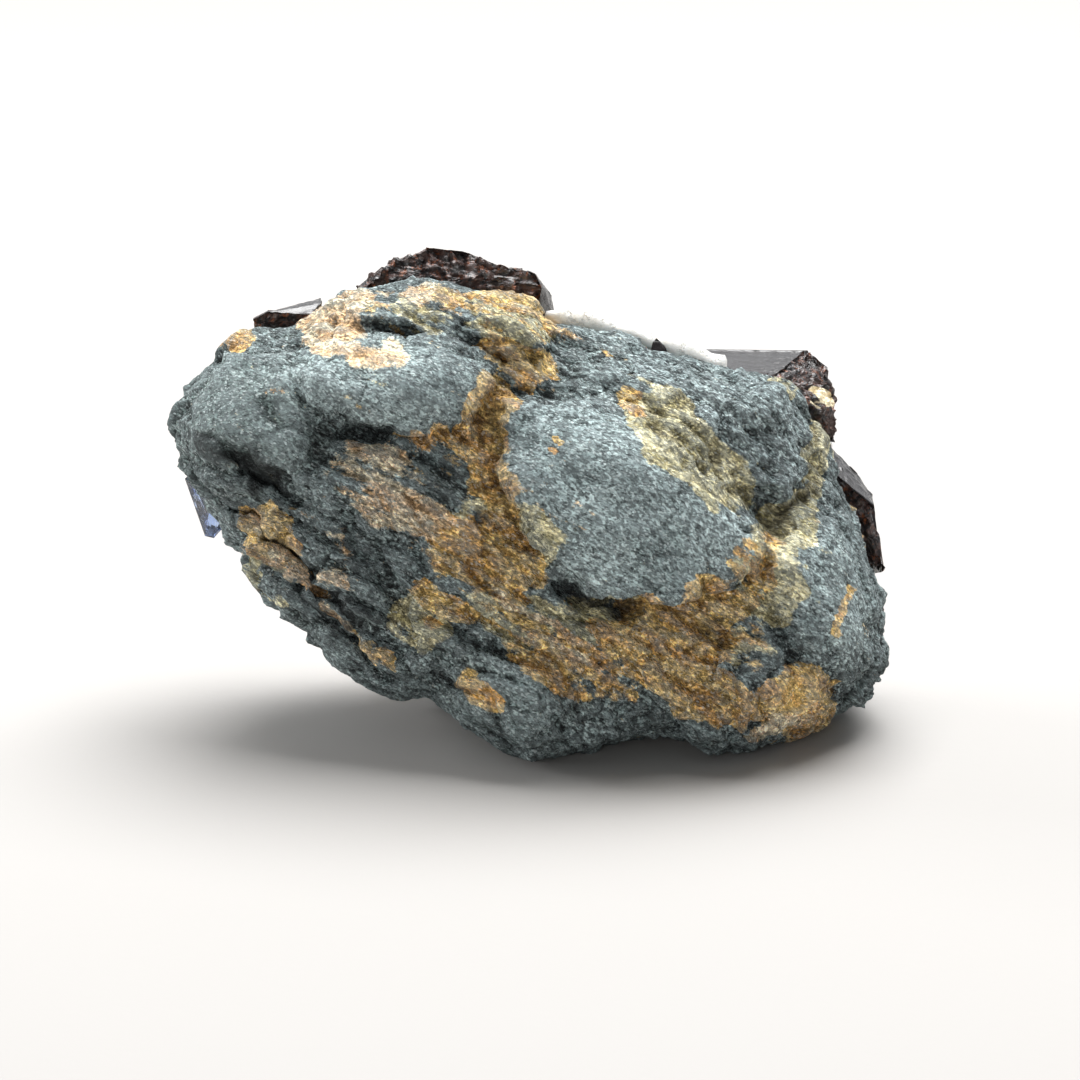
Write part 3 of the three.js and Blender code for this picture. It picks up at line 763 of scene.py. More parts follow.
def crust_surface(cells, roughness):
    """The crust: a shell over the crystal side, thinner to its edge, heaped up in rounded grains,
    raised where a crystal grows on it and sunk where one stands in the block."""
    reach, turn, is_far, quads = wrapped_grids(cells)
    ragged = 1 + 0.035 * np.sin(2 * np.pi * 9 * turn + 1.0) * np.cos(2 * np.pi * 5 * turn)
    place, normal = crystal_side(np.maximum(0.004, reach * ragged * crust_reach(turn)), turn)
    small = 0.3 * (0.6 - chips(place, 1.0, 105) ** 2)
    grains = crust_grains(place) + small + 0.45 * layered(place, 5.0, 3, 110)
    heaped = np.exp(-((np.maximum(gap_to(place + normal * 2.0, (*GROWN, *GEMS)), 0) / 1.5) ** 2))
    free = smooth((gap_to(place + normal * 1.0, LODGED) + 0.2) / 1.2)
    outer = SKIN + (crust_thickness(reach) + roughness * (grains + 0.9 * heaped)) * free
    inner = CRUST_EDGE / 2 * reach ** 12 * free - SKIN / 2
    height = np.where(is_far, outer, inner) - 1.2 * (1 - free)
    points = place + normal * height[:, None]
    points[:, 2] = np.maximum(points[:, 2], 0.1)
    # The crust's hollows, which its material darkens as painted shade.
    hollow = hollowness(points, normals_of(points, quads), quads, 6)
    return points, quads, {"hollow": smooth((hollow - 0.02) / 0.3)}


# The natrolite prisms: shortest and longest, narrowest and widest from the middle to a corner,
# how far they lean from upright, how deep they root, and how far they keep from the crystals
# set in the block.
NEEDLE_LENGTH = (0.4, 1.3)
NEEDLE_WIDTH = (0.1, 0.22)
NEEDLE_LEAN = 0.75
ROOT = 0.25
SUNK_ZONE = 1.3


def needle_surface(count, seed):
    """Small square prisms with pointed ends standing out of the crust, each one the same nine
    corners stretched, turned to its own direction and set on its own site."""
    rng = np.random.default_rng(seed)
    reach = np.sqrt(rng.uniform(0.0004, 1.0, count))
    turn = rng.uniform(0, 1, count)
    place, normal = crystal_side(reach * 0.985 * crust_reach(turn), turn)
    site = place + normal * (SKIN + crust_thickness(reach) + crust_grains(place) - ROOT)[:, None]
    tried = site + normal * 0.5
    clear = np.minimum(gap_to(tried, (*GROWN, *GEMS)), gap_to(tried, LODGED) - SUNK_ZONE)
    kept = (clear > 0.5) & (site[:, 2] > 1.5) & (reach < 0.92)
    site, normal, reach = site[kept], normal[kept], reach[kept]
    lean = rng.normal(size=site.shape)
    along = unit(normal + NEEDLE_LEAN * unit(lean))
    side = unit(np.cross(along, rng.normal(size=site.shape)))
    other = np.cross(along, side)
    length = rng.uniform(*NEEDLE_LENGTH, len(site)) * (1.1 - 0.9 * reach ** 2)
    width = rng.uniform(*NEEDLE_WIDTH, len(site))
    corners = np.array([(1, 0, 0), (0, 1, 0), (-1, 0, 0), (0, -1, 0)] * 2 + [(0, 0, 0)], float)
    rise = np.array([0] * 4 + [0.82] * 4 + [1.0])
    points = (
        site[:, None]
        + (corners[:, 0] * width[:, None])[..., None] * side[:, None]
        + (corners[:, 1] * width[:, None])[..., None] * other[:, None]
        + (rise * length[:, None])[..., None] * along[:, None]
    )
    sides = [(k, (k + 1) % 4, 4 + (k + 1) % 4) for k in range(4)]
    sides += [(k, 4 + (k + 1) % 4, 4 + k) for k in range(4)]
    tips = [(4 + k, 4 + (k + 1) % 4, 8) for k in range(4)]
    feet = [(0, 3, 2), (0, 2, 1)]
    faces = np.array(sides + tips + feet) + 9 * np.arange(len(site))[:, None, None]
    return points.reshape(-1, 3), faces.reshape(-1, 3)


# Each neptunite's broken faces: those that turn this way, in u, v, w, by more than the last one.
BROKEN = {
    "neptunite_crest": (-0.3, 0.4, -1.0, 0.15),
    "neptunite_left": (0.0, -0.4, -1.0, 0.5),
    "neptunite_right": (0.75, -0.25, -0.62, 0.22),
    "neptunite_flank": (0.3, -0.6, -0.7, 0.2),
    "neptunite_low": (0.0, 0.0, -1.0, -0.3),
}
# A cream patch of rock left on the right-hand neptunite: u, v, half widths, turn, strength.
LEFT_ON = ((31.2, 15.9, 1.5, 1.0, -15, 1.1),)


# Depths on the crystals: growth steps, with how many to a unit of noise, growth lines, broken
# faces, splinters on those, and chips along the edges.
STEP_DEPTH = 0.05
GROWTH_STEPS = 2.2
LINE_DEPTH = 0.012
BREAK_DEPTH = 0.55
SPLINTER_DEPTH = 0.35
EDGE_CHIPS = 0.1


def crystal_surface(node, steps, wear):
    """A crystal's flat faces, each CAD triangle as a grid of two of its corners' shares.

    Smooth faces get fine growth steps along the crystal and broken ones hollows and splinters,
    both moved in along the face's own direction. Growth holds each vertex's place along and
    across the crystal, broken the share of broken surface, and cream what is left on it.
    """
    triangles, planes = planes_of(node)
    first, second = np.meshgrid(np.arange(steps + 1), np.arange(steps + 1), indexing="ij")
    used = first + second <= steps
    share = np.stack((steps - first - second, first, second), axis=-1)[used] / steps
    number = np.full(used.shape, -1)
    number[used] = np.arange(used.sum())
    upward = np.stack((number[:-1, :-1], number[1:, :-1], number[:-1, 1:]), axis=-1)
    upward = upward[(first + second)[:-1, :-1] < steps]
    downward = np.stack((number[1:, :-1], number[1:, 1:], number[:-1, 1:]), axis=-1)
    downward = downward[(first + second)[:-1, :-1] < steps - 1]
    small = np.concatenate((upward, downward))
    every = np.einsum("kc,tcx->tkx", share, triangles).reshape(-1, 3)
    faces = (small[None] + len(share) * np.arange(len(triangles))[:, None, None]).reshape(-1, 3)
    _, kept, welded = np.unique(np.round(every, 3), axis=0, return_index=True, return_inverse=True)
    points = every[kept]
    faces = welded.ravel()[faces]
    faces = faces[np.all(faces != np.roll(faces, 1, axis=1), axis=1)]

    above = points @ planes[:, :3].T - planes[:, 3]
    ordered = np.argsort(above, axis=1)
    normals = planes[ordered[:, -1], :3]
    to_edge = np.maximum(-np.take_along_axis(above, ordered[:, -2:-1], axis=1)[:, 0], 0)
    middle = points.mean(axis=0)
    axes = np.linalg.svd(triangles.reshape(-1, 3) - middle, full_matrices=False)[2]
    growth = (points - middle) @ axes.T
    towards = np.array(BROKEN.get(node, (0, 0, 0, 9)))
    broken = smooth((normals @ unit(turned(towards[:3])) - towards[3]) / 0.12)

    lines = growth * np.array((0.06, 1.0, 1.0))
    stepped = np.round(GROWTH_STEPS * layered(lines, 1.3, 2, 140)) / GROWTH_STEPS
    smooth_depth = STEP_DEPTH * (1 + stepped) + LINE_DEPTH * (1 + noise(lines, 0.35, 150))
    chipped_off, _ = facets(points, 1.3, 160, 0.2)
    splinters = SPLINTER_DEPTH * layered(growth * np.array((0.5, 1.0, 1.0)), 0.9, 3, 165)
    rough_depth = BREAK_DEPTH * (1 + chipped_off) + splinters
    chipped = wear * EDGE_CHIPS * smooth(1 - to_edge / 0.25) * (1 + noise(points, 0.8, 170))
    depth = np.where(broken > 0.5, rough_depth, smooth_depth * smooth(to_edge / 0.3)) + chipped
    points = points - normals * depth[:, None] * wear
    face = to_face(points)
    cream = stain(face, face, LEFT_ON, 180) if node == "neptunite_right" else np.zeros(len(points))
    growth = np.column_stack((growth, np.ones(len(points))))
    return points, faces, {"growth": growth, "broken": broken, "cream": cream * broken}


# Materials

# Scales of the patterns, per metre.
FINE_GRAINS = 6400.0
COARSE_GRAINS = 3300.0
STROKES = 1700.0
STREAKS = 620.0
MOTTLES = 190.0
STAIN_FLECKS = 1150.0
CRUST_GRAINS = 1700.0
CRUST_MOTTLES = 160.0
SPLINTERS = 1500.0
RUST_SPECKS = 900.0
ASH_SPECKS = 1300.0
GEM_HAZE = 260.0
PAPER_FIBRES = 900.0
# How far the patterns stand out, in metres.
STONE_BUMP = 0.0003
CRUST_BUMP = 0.00022
NEPTUNITE_BUMP = 0.00022
GEM_BUMP = 0.00012
PAPER_BUMP = 0.00002
GRAIN_WARP = (0.00012, 0.00012, 0.00012)
# Growth lines: how much they are drawn out along the crystal.
NEPTUNITE_LINES = (0.04, 1.0, 1.0)
GEM_LINES = (0.15, 1.0, 1.0)
# Fixed colours, as linear ones.
# Near-black of the painted shade in hollows and cracks, and of the dark pockets.
SHADE_AND_POCKET_BLACK = (0.012, 0.013, 0.013, 1.0)
# Multipliers for the stone: duller where darkened as painted shade, paler on the slab and where painted light
# falls.
STONE_DULL_AND_SHADED = (0.45, 0.48, 0.43, 1.0)
STONE_PALE_AND_LIT = (1.15, 1.16, 1.1, 1.0)
ASH = (0.35, 0.34, 0.33, 1.0)
PAPER = (0.42, 0.408, 0.395, 1.0)
DAYLIGHT = (0.96, 0.98, 1.0, 1.0)

GROUPS = {}
MATERIALS = {}


def filled(tree, made, inputs):
    """A node with its inputs set to values or joined to sockets."""
    for key, value in inputs.items():
        if isinstance(value, bpy.types.NodeSocket):
            tree.links.new(value, made.inputs[key])
        else:
            made.inputs[key].default_value = value
    return made


def node(tree, kind, inputs=None, **settings):
    """A new shader node with its settings and inputs."""
    made = tree.nodes.new("ShaderNode" + kind)
    for key, value in settings.items():
        setattr(made, key, value)
    return filled(tree, made, inputs or {})


def placed(tree, group, inputs):
    """A shared node group placed in a material with its own values."""
    return node(tree, "Group", inputs, node_tree=GROUPS[group])


def mixed(tree, factor, first, second, how="MIX"):
    """Two colours mixed by a factor."""
    made = node(tree, "Mix", {0: factor, 6: first, 7: second}, data_type="RGBA", blend_type=how)
    return made.outputs[2]


def counted(tree, operation, first, second):
    """The result of one sum."""
    return node(tree, "Math", {0: first, 1: second}, operation=operation).outputs[0]


def times(tree, first, second):
    """The product of two values."""
    return counted(tree, "MULTIPLY", first, second)


def remapped(tree, value, low, high, to_low=0.0, to_high=1.0):
    """A value's rise from low to high as a smooth one from to_low to to_high."""
    inputs = {"Value": value, "From Min": low, "From Max": high, "To Min": to_low, "To Max": to_high}
    return node(tree, "MapRange", inputs, interpolation_type="SMOOTHSTEP").outputs[0]


def spanned(tree, share, at_none, at_full):
    """A smooth change from one number to another as a share rises from 0 to 1."""
    return remapped(tree, share, 0.0, 1.0, at_none, at_full)


def clouds(tree, vector, scale, detail, roughness=0.5):
    """The value of a noise texture."""
    inputs = {"Vector": vector, "Scale": scale, "Detail": detail, "Roughness": roughness}
    return node(tree, "TexNoise", inputs).outputs["Fac"]


def drawn_out(tree, vector, amounts):
    """A vector multiplied by a fixed amount along each axis."""
    return node(tree, "VectorMath", {0: vector, 1: amounts}, operation="MULTIPLY").outputs[0]


def attribute(tree, name, output="Fac"):
    """One output of a vertex attribute."""
    return node(tree, "Attribute", attribute_name=name).outputs[output]


def bumped(tree, height, distance):
    """A normal bumped by a height, with its relief in metres."""
    return node(tree, "Bump", {"Height": height, "Distance": distance}).outputs["Normal"]


def grey(tree, value):
    """A value as a grey colour."""
    return node(tree, "CombineColor", {0: value, 1: value, 2: value}).outputs[0]


def opaque(colour):
    """A colour setting as the four numbers of a colour socket."""
    return (*colour, 1.0)


def new_group(name, inputs, outputs):
    """An empty node group with named sockets, its input sockets and its end node."""
    group = bpy.data.node_groups.new(name, "ShaderNodeTree")
    for key, kind, value in inputs:
        socket = group.interface.new_socket(key, in_out="INPUT", socket_type="NodeSocket" + kind)
        if value is not None:
            socket.default_value = value
    for key, kind in outputs:
        group.interface.new_socket(key, in_out="OUTPUT", socket_type="NodeSocket" + kind)
    return group, group.nodes.new("NodeGroupInput").outputs, group.nodes.new("NodeGroupOutput")


def bedding_group():
    """Bedding space: a position squeezed along the bedding, so that a pattern runs out there."""
    inputs = (("Vector", "Vector", None), ("Stretch", "Float", 3.0))
    group, given, result = new_group("Bedding space", inputs, (("Vector", "Vector"),))
    across = Vector(turned(BEDDING_ACROSS)).normalized()
    along = Vector(turned(BEDDING_ALONG)).normalized()
    third = across.cross(along).normalized()
    parts = []
    for direction in (across, along, third):
        length = node(group, "VectorMath", {0: given["Vector"], 1: direction}, operation="DOT_PRODUCT")
        parts.append(length.outputs["Value"])
    for part in (1, 2):
        parts[part] = counted(group, "DIVIDE", parts[part], given["Stretch"])
    joined = node(group, "CombineXYZ", dict(enumerate(parts)))
    filled(group, result, {"Vector": joined.outputs[0]})
    return group


def grain_group():
    """Mineral grains: each grain has its own tone from 0 to 1, between them lie small pits, and
    the height puts the pits low and the grains at uneven levels."""
    inputs = (("Vector", "Vector", None), ("Scale", "Float", 1500.0), ("Pits", "Float", 0.5))
    outputs = (("Tone", "Float"), ("Pit", "Float"), ("Height", "Float"))
    group, given, result = new_group("Mineral grains", inputs, outputs)
    vector, scale = given["Vector"], given["Scale"]
    swirl = node(group, "TexNoise", {"Vector": vector, "Scale": scale, "Detail": 3.0, "Roughness": 0.7})
    offset = drawn_out(group, swirl.outputs["Color"], GRAIN_WARP)
    bent = node(group, "VectorMath", {0: vector, 1: offset}, operation="ADD").outputs[0]
    cells = node(group, "TexVoronoi", {"Vector": bent, "Scale": scale})
    tone = node(group, "SeparateColor", {0: cells.outputs["Color"]}).outputs[0]
    wide = clouds(group, vector, times(group, scale, 0.55), 4.0, 0.75)
    pit = remapped(group, counted(group, "ADD", wide, times(group, given["Pits"], 0.2)), 0.62, 0.72)
    level = counted(group, "ADD", tone, times(group, swirl.outputs["Fac"], 0.4))
    height = counted(group, "SUBTRACT", level, times(group, pit, 0.8))
    filled(group, result, {"Tone": tone, "Pit": pit, "Height": height})
    return group


def cover_group():
    """Ragged cover: an amount from 0 to 1 broken up into flecks by fine noise, as a mask."""
    inputs = (("Vector", "Vector", None), ("Amount", "Float", 0.0), ("Scale", "Float", 800.0),
              ("Raggedness", "Float", 0.8))
    group, given, result = new_group("Ragged cover", inputs, (("Mask", "Float"),))
    uneven = counted(group, "SUBTRACT", clouds(group, given["Vector"], given["Scale"], 5.0, 0.8), 0.5)
    total = counted(group, "ADD", given["Amount"], times(group, uneven, given["Raggedness"]))
    filled(group, result, {"Mask": remapped(group, total, 0.36, 0.62)})
    return group


def new_material(name):
    """A material with its node tree, its shader and the Object coordinates."""
    material = bpy.data.materials.new(name)
    material.use_nodes = True
    tree = material.node_tree
    where = node(tree, "TexCoord").outputs["Object"]
    return material, tree, tree.nodes["Principled BSDF"], where


def blueschist_material(settings):
    """Grey-blue schist: mottled, streaked and speckled with grains drawn out along the bedding, with painted
    shade in its pits and fine fissures, stained ochre, olive and cream in flecks, with painted shade in its
    hollows and cracks and near-black dark pockets, a painted highlight where it stands up, and broad
    patches of painted light and shade."""
    material, tree, shader, where = new_material("blueschist")
    ochre, olive, cream = node(tree, "SeparateColor", {0: attribute(tree, "stain", "Color")}).outputs
    # Painted shade in the hollows and cracks, together with the dark pockets.
    dark = attribute(tree, "stain", "Alpha")
    smooth_part = attribute(tree, "worn")

    bedded = placed(tree, "bedding", {"Vector": where, "Stretch": 2.0}).outputs[0]
    drawn = placed(tree, "bedding", {"Vector": where, "Stretch": 3.0}).outputs[0]
    pits = spanned(tree, smooth_part, 0.6, 0.2)
    fine = placed(tree, "grain", {"Vector": bedded, "Scale": FINE_GRAINS, "Pits": pits}).outputs
    coarse = placed(tree, "grain", {"Vector": bedded, "Scale": COARSE_GRAINS, "Pits": pits}).outputs
    streaks = clouds(tree, drawn, STREAKS, 5.0, 0.7)

    mottled = remapped(tree, clouds(tree, bedded, MOTTLES, 4.0, 0.6), 0.35, 0.65)
    stone = mixed(tree, mottled, opaque(settings.rock_dark), opaque(settings.rock))
    light = opaque(settings.rock_light)
    less_on_slab = spanned(tree, attribute(tree, "slab"), 0.6, 0.3)
    stone = mixed(tree, times(tree, remapped(tree, streaks, 0.5, 0.72), less_on_slab), stone, light)
    # Paler on the slab, partly its own tone and partly painted light; elsewhere patches of painted light and
    # shade.
    toned_and_lit = mixed(tree, attribute(tree, "pale"), STONE_DULL_AND_SHADED, STONE_PALE_AND_LIT)
    stained = mixed(tree, 1.0, stone, toned_and_lit, "MULTIPLY")

    flecks = remapped(tree, streaks, 0.4, 0.6)
    spread = 0.0
    stains = (
        (olive, settings.olive_dark, settings.olive, 0.85, 2.2),
        (ochre, settings.ochre_dark, settings.ochre, 0.9, 2.2),
        (cream, settings.cream_dark, settings.cream, 0.9, 2.3),
    )
    for amount, darker, lighter, most, ragged in stains:
        colour = mixed(tree, flecks, opaque(darker), opaque(lighter))
        inputs = {"Vector": bedded, "Amount": amount, "Scale": STAIN_FLECKS, "Raggedness": ragged}
        cover = placed(tree, "cover", inputs).outputs[0]
        stained = mixed(tree, times(tree, cover, most), stained, colour)
        spread = counted(tree, "MAXIMUM", cover, spread)

    speckled = times(tree, spanned(tree, fine["Tone"], 0.42, 1.8), spanned(tree, coarse["Tone"], 0.5, 1.7))
    # Painted shade: darker in the pits, and below in the fine fissures.
    painted_pit_shade = times(tree, spanned(tree, fine["Pit"], 1.0, 0.5), spanned(tree, coarse["Pit"], 1.0, 0.3))
    stroke = remapped(tree, clouds(tree, bedded, STROKES, 2.0), 0.58, 0.66)
    stroke = times(tree, stroke, spanned(tree, smooth_part, 0.75, 0.3))
    speckle_and_pit_shade = times(tree, speckled, times(tree, painted_pit_shade, spanned(tree, stroke, 1.0, 0.25)))
    speckled_and_pit_shaded = mixed(tree, spanned(tree, spread, 1.0, 0.66), stained, grey(tree, speckle_and_pit_shade), "MULTIPLY")
    bright = remapped(tree, fine["Tone"], 0.86, 0.93, 0.0, 0.42)
    sparkling = mixed(tree, bright, speckled_and_pit_shaded, opaque(settings.rock_fleck))
    # Painted highlight: lighter on the raised parts.
    highlighted = mixed(tree, times(tree, attribute(tree, "raised"), 0.32), sparkling, light)
    relief = counted(tree, "ADD", coarse["Height"], times(tree, fine["Height"], 0.45))
    relief = counted(tree, "SUBTRACT", relief, times(tree, stroke, 1.5))
    # The base colour is mixed towards near-black by the painted shade in hollows and cracks and by the dark
    # pockets.
    filled(tree, shader, {
        "Base Color": mixed(tree, times(tree, dark, 0.88), highlighted, SHADE_AND_POCKET_BLACK),
        "Roughness": remapped(tree, fine["Tone"], 0.7, 1.0, 0.95, 0.6),
        "Normal": bumped(tree, relief, STONE_BUMP),
        "Specular IOR Level": 0.3,
    })
    return material


def natrolite_material(settings):
    """White, sugary natrolite, with painted shade, a little dull and warm, in its hollows."""
    material, tree, shader, where = new_material("natrolite")
    grain = placed(tree, "grain", {"Vector": where, "Scale": CRUST_GRAINS, "Pits": 0.3}).outputs
    mottled = remapped(tree, clouds(tree, where, CRUST_MOTTLES, 4.0, 0.6), 0.35, 0.6)
    white = mixed(tree, mottled, opaque(settings.crust_shade), opaque(settings.crust))
    # Painted shade: duller and warmer in the crust's hollows.
    hollow_shade = times(tree, attribute(tree, "hollow"), 0.55)
    filled(tree, shader, {
        "Base Color": mixed(tree, hollow_shade, white, opaque(settings.crust_hollow_shade)),
        "Roughness": spanned(tree, grain["Tone"], 0.65, 0.25),
        "Normal": bumped(tree, grain["Height"], CRUST_BUMP),
        "Subsurface Weight": 0.3,
        "Subsurface Radius": (0.8, 0.75, 0.7),
        "Subsurface Scale": 0.0008,
        "IOR": 1.48,
    })
    return material


def neptunite_material(settings):
    """Black neptunite: glossy faces with fine growth lines, and brown-black broken faces with
    rusty and pale specks."""
    material, tree, shader, where = new_material("neptunite")
    broken = attribute(tree, "broken")
    cream = attribute(tree, "cream")
    black = opaque(settings.neptunite)
    grain = placed(tree, "grain", {"Vector": where, "Scale": SPLINTERS, "Pits": 0.6}).outputs
    base = mixed(tree, remapped(tree, grain["Tone"], 0.2, 0.9), black, opaque(settings.neptunite_broken))
    specks = ((RUST_SPECKS, 0.24, 0.75, opaque(settings.neptunite_rust)), (ASH_SPECKS, 0.14, 0.5, ASH))
    for scale, amount, most, colour in specks:
        inputs = {"Vector": where, "Amount": amount, "Scale": scale, "Raggedness": 2.8}
        base = mixed(tree, times(tree, placed(tree, "cover", inputs).outputs[0], most), base, colour)
    base = mixed(tree, broken, black, base)
    left_on = placed(tree, "cover", {"Vector": where, "Amount": cream}).outputs[0]
    lines = clouds(tree, drawn_out(tree, attribute(tree, "growth", "Vector"), NEPTUNITE_LINES), 3.2, 4.0, 0.7)
    relief = counted(tree, "ADD", times(tree, lines, 0.3), times(tree, grain["Height"], broken))
    filled(tree, shader, {
        "Base Color": mixed(tree, left_on, base, opaque(settings.cream)),
        "Roughness": counted(tree, "ADD", spanned(tree, broken, 0.12, 0.34), times(tree, cream, 0.4)),
        "Normal": bumped(tree, relief, NEPTUNITE_BUMP),
        "IOR": 1.69,
    })
    return material


def benitoite_material(settings):
    """Clear blue benitoite: see-through, with faint growth lines on its faces. The blue comes
    from absorption inside, so thick parts are deeper blue than thin corners."""
    material, tree, shader, where = new_material("benitoite")
    lines = clouds(tree, drawn_out(tree, attribute(tree, "growth", "Vector"), GEM_LINES), 1.4, 3.0, 0.6)
    filled(tree, shader, {
        "Base Color": opaque(settings.benitoite),
        "Roughness": remapped(tree, clouds(tree, where, GEM_HAZE, 3.0), 0.4, 0.7, 0.04, 0.2),
        "Normal": bumped(tree, lines, GEM_BUMP),
        "Transmission Weight": 1.0,
        "IOR": 1.757,
    })
    inside = node(tree, "VolumeAbsorption", {"Color": opaque(settings.benitoite_depth), "Density": 120.0})
    filled(tree, tree.nodes["Material Output"], {"Volume": inside.outputs[0]})
    return material


def floor_material():
    """Plain white paper."""
    material, tree, shader, where = new_material("paper")
    filled(tree, shader, {
        "Base Color": PAPER,
        "Roughness": 0.9,
        "Normal": bumped(tree, clouds(tree, where, PAPER_FIBRES, 3.0), PAPER_BUMP),
        "Specular IOR Level": 0.1,
    })
    return material


def material_for(slot):
    """The material of a slot, built once from the colour settings."""
    makers = {
        "blueschist": blueschist_material,
        "natrolite": natrolite_material,
        "neptunite": neptunite_material,
        "benitoite": benitoite_material,
    }
    if not GROUPS:
        GROUPS.update(bedding=bedding_group(), grain=grain_group(), cover=cover_group())
    if slot not in MATERIALS:
        MATERIALS[slot] = makers[slot](bpy.context.scene.specimen_colours)
    return MATERIALS[slot]


# Settings


def tint(name, description, red, green, blue):
    """A colour setting, its default given as an 8-bit display colour."""
    default = linear(red, green, blue)
    return FloatVectorProperty(name=name, description=description, default=default, size=3, min=0, max=1,
                               subtype="COLOR")


def whole(name, description, default, least, most):
    """A whole number setting with its range."""
    return IntProperty(name=name, description=description, default=default, min=least, max=most)


def number(name, description, default, least, most, **kind):
    """A number setting with its range, and its unit or subtype."""
    return FloatProperty(name=name, description=description, default=default, min=least, max=most, **kind)


class SPECIMEN_PG_colours(bpy.types.PropertyGroup):
    """Colours of the minerals."""

    rock: tint("Rock", "Main colour of the schist", 132, 145, 149)
    rock_dark: tint("Rock, dark", "Darker mottling of the schist", 98, 110, 113)
    # Also the painted highlight on the rock's raised parts.
    rock_light: tint("Rock, light", "Pale streaks and raised grains of the schist", 170, 183, 185)
    rock_fleck: tint("Rock, flecks", "Single pale grains in the schist", 204, 213, 213)
    ochre: tint("Ochre", "Lighter ochre stain", 244, 206, 126)
    ochre_dark: tint("Ochre, dark", "Darker, rusty ochre stain", 204, 152, 78)
    olive: tint("Olive", "Pale olive stain", 238, 226, 178)
    olive_dark: tint("Olive, dark", "Darker olive stain", 172, 160, 108)
    cream: tint("Cream", "Cream patches left on the rock", 252, 236, 200)
    cream_dark: tint("Cream, dark", "Peach tone of the cream patches", 234, 190, 138)
    crust: tint("Crust", "White of the natrolite", 246, 245, 241)
    crust_shade: tint("Crust, shaded", "Duller white of the natrolite", 228, 225, 217)
    # Painted shade of the crust's hollows.
    crust_hollow_shade: tint("Crust, hollows", "Dull tone in the crust's hollows", 190, 182, 165)
    neptunite: tint("Neptunite", "Black of the smooth crystal faces", 24, 19, 20)
    neptunite_broken: tint("Neptunite, broken", "Brown of the broken faces", 80, 60, 55)
    neptunite_rust: tint("Neptunite, rust", "Rusty specks on the broken faces", 164, 96, 56)
    benitoite: tint("Benitoite", "Surface tint of the clear crystals", 222, 234, 252)
    benitoite_depth: tint("Benitoite, depth", "Colour that light keeps inside the crystals", 96, 160, 238)


class SPECIMEN_PG_shapes(bpy.types.PropertyGroup):
    """Fineness and roughness of the pieces."""

    rock_cells: whole("Rock cells", "Cells along each side of the block's grids", 220, 40, 222)
    rock_roughness: number(
        "Rock roughness", "Strength of the rock's broken texture", 1.0, 0, 2, subtype="FACTOR")
    crust_cells: whole("Crust cells", "Cells along each side of the crust's grids", 190, 40, 222)
    crust_roughness: number(
        "Crust roughness", "Height of the crust's grains", 1.0, 0, 2, subtype="FACTOR")
    needles: whole("Needles", "Number of small natrolite prisms", 9000, 0, 12000)
    crystal_step: number(
        "Crystal step", "Size of the grid on the large crystals", 0.0004, 0.0002, 0.002, unit="LENGTH")
    crystal_wear: number(
        "Crystal wear", "Strength of growth lines and broken faces", 1.0, 0, 2, subtype="FACTOR")


class SPECIMEN_PG_stage(bpy.types.PropertyGroup):
    """Camera and light."""

    view_width: number(
        "View width", "Width that the camera takes in at the specimen", 0.12, 0.05, 1, unit="LENGTH")
    focal_length: number("Focal length", "Focal length of the camera in millimetres", 200, 35, 300)
    overhead: number("Overhead light", "Power of the large light above", 16, 0, 60, unit="POWER")
    front: number("Front light", "Power of the soft light in front", 3.0, 0, 60, unit="POWER")
    side: number("Side light", "Power of the low light on the left", 5.0, 0, 60, unit="POWER")
    backdrop: number("Backdrop", "Strength of the surroundings behind the specimen", 0.9, 0, 4)
    sky: number("Sky", "Strength of the surroundings everywhere else", 0.24, 0, 4)


# Operators


class SPECIMEN_OT_rock(bpy.types.Operator):
    """Makes the block of blueschist"""

    bl_idname = "specimen.rock"
    bl_label = "Rock"

    def execute(self, context):
        shapes = context.scene.specimen_shapes
        points, quads, values = rock_surface(shapes.rock_cells, shapes.rock_roughness)
        add_piece("rock", points, quads, material_for("blueschist"), ["matrix"], values)
        return {"FINISHED"}


class SPECIMEN_OT_crust(bpy.types.Operator):
    """Makes the natrolite crust on the crystal side"""

    bl_idname = "specimen.crust"
    bl_label = "Crust"

    def execute(self, context):
        shapes = context.scene.specimen_shapes
        points, quads, values = crust_surface(shapes.crust_cells, shapes.crust_roughness)
        white = material_for("natrolite")
        add_piece("crust", points, quads, white, ["natrolite_crust"], values)
        return {"FINISHED"}


class SPECIMEN_OT_needles(bpy.types.Operator):
    """Scatters small natrolite prisms over the crust"""

    bl_idname = "specimen.needles"
    bl_label = "Needles"

    def execute(self, context):
        points, faces = needle_surface(context.scene.specimen_shapes.needles, 11)
        add_piece("crust_needles", points, faces, material_for("natrolite"), flat=True)
        return {"FINISHED"}


def add_crystals(nodes, slot, step, wear):
    """Makes each crystal of a list, its grid fine enough for the step given in metres."""
    for name in nodes:
        low, high = (np.array(corner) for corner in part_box(name))
        steps = int(np.clip((high - low).max() / step, 8, 60))
        points, faces, values = crystal_surface(name, steps, wear)
        piece = add_piece(name + "_crystal", points, faces, material_for(slot), [name], values)
        piece.data.set_sharp_from_angle(angle=np.radians(24))


class SPECIMEN_OT_neptunites(bpy.types.Operator):
    """Makes the black neptunite crystals"""

    bl_idname = "specimen.neptunites"
    bl_label = "Neptunites"

    def execute(self, context):
        shapes = context.scene.specimen_shapes
        add_crystals((*LODGED, *GROWN), "neptunite", shapes.crystal_step, shapes.crystal_wear)
        return {"FINISHED"}


class SPECIMEN_OT_benitoites(bpy.types.Operator):
    """Makes the clear blue benitoite crystals"""

    bl_idname = "specimen.benitoites"
    bl_label = "Benitoites"

    def execute(self, context):
        shapes = context.scene.specimen_shapes
        add_crystals(GEMS, "benitoite", shapes.crystal_step, 0.5 * shapes.crystal_wear)
        return {"FINISHED"}


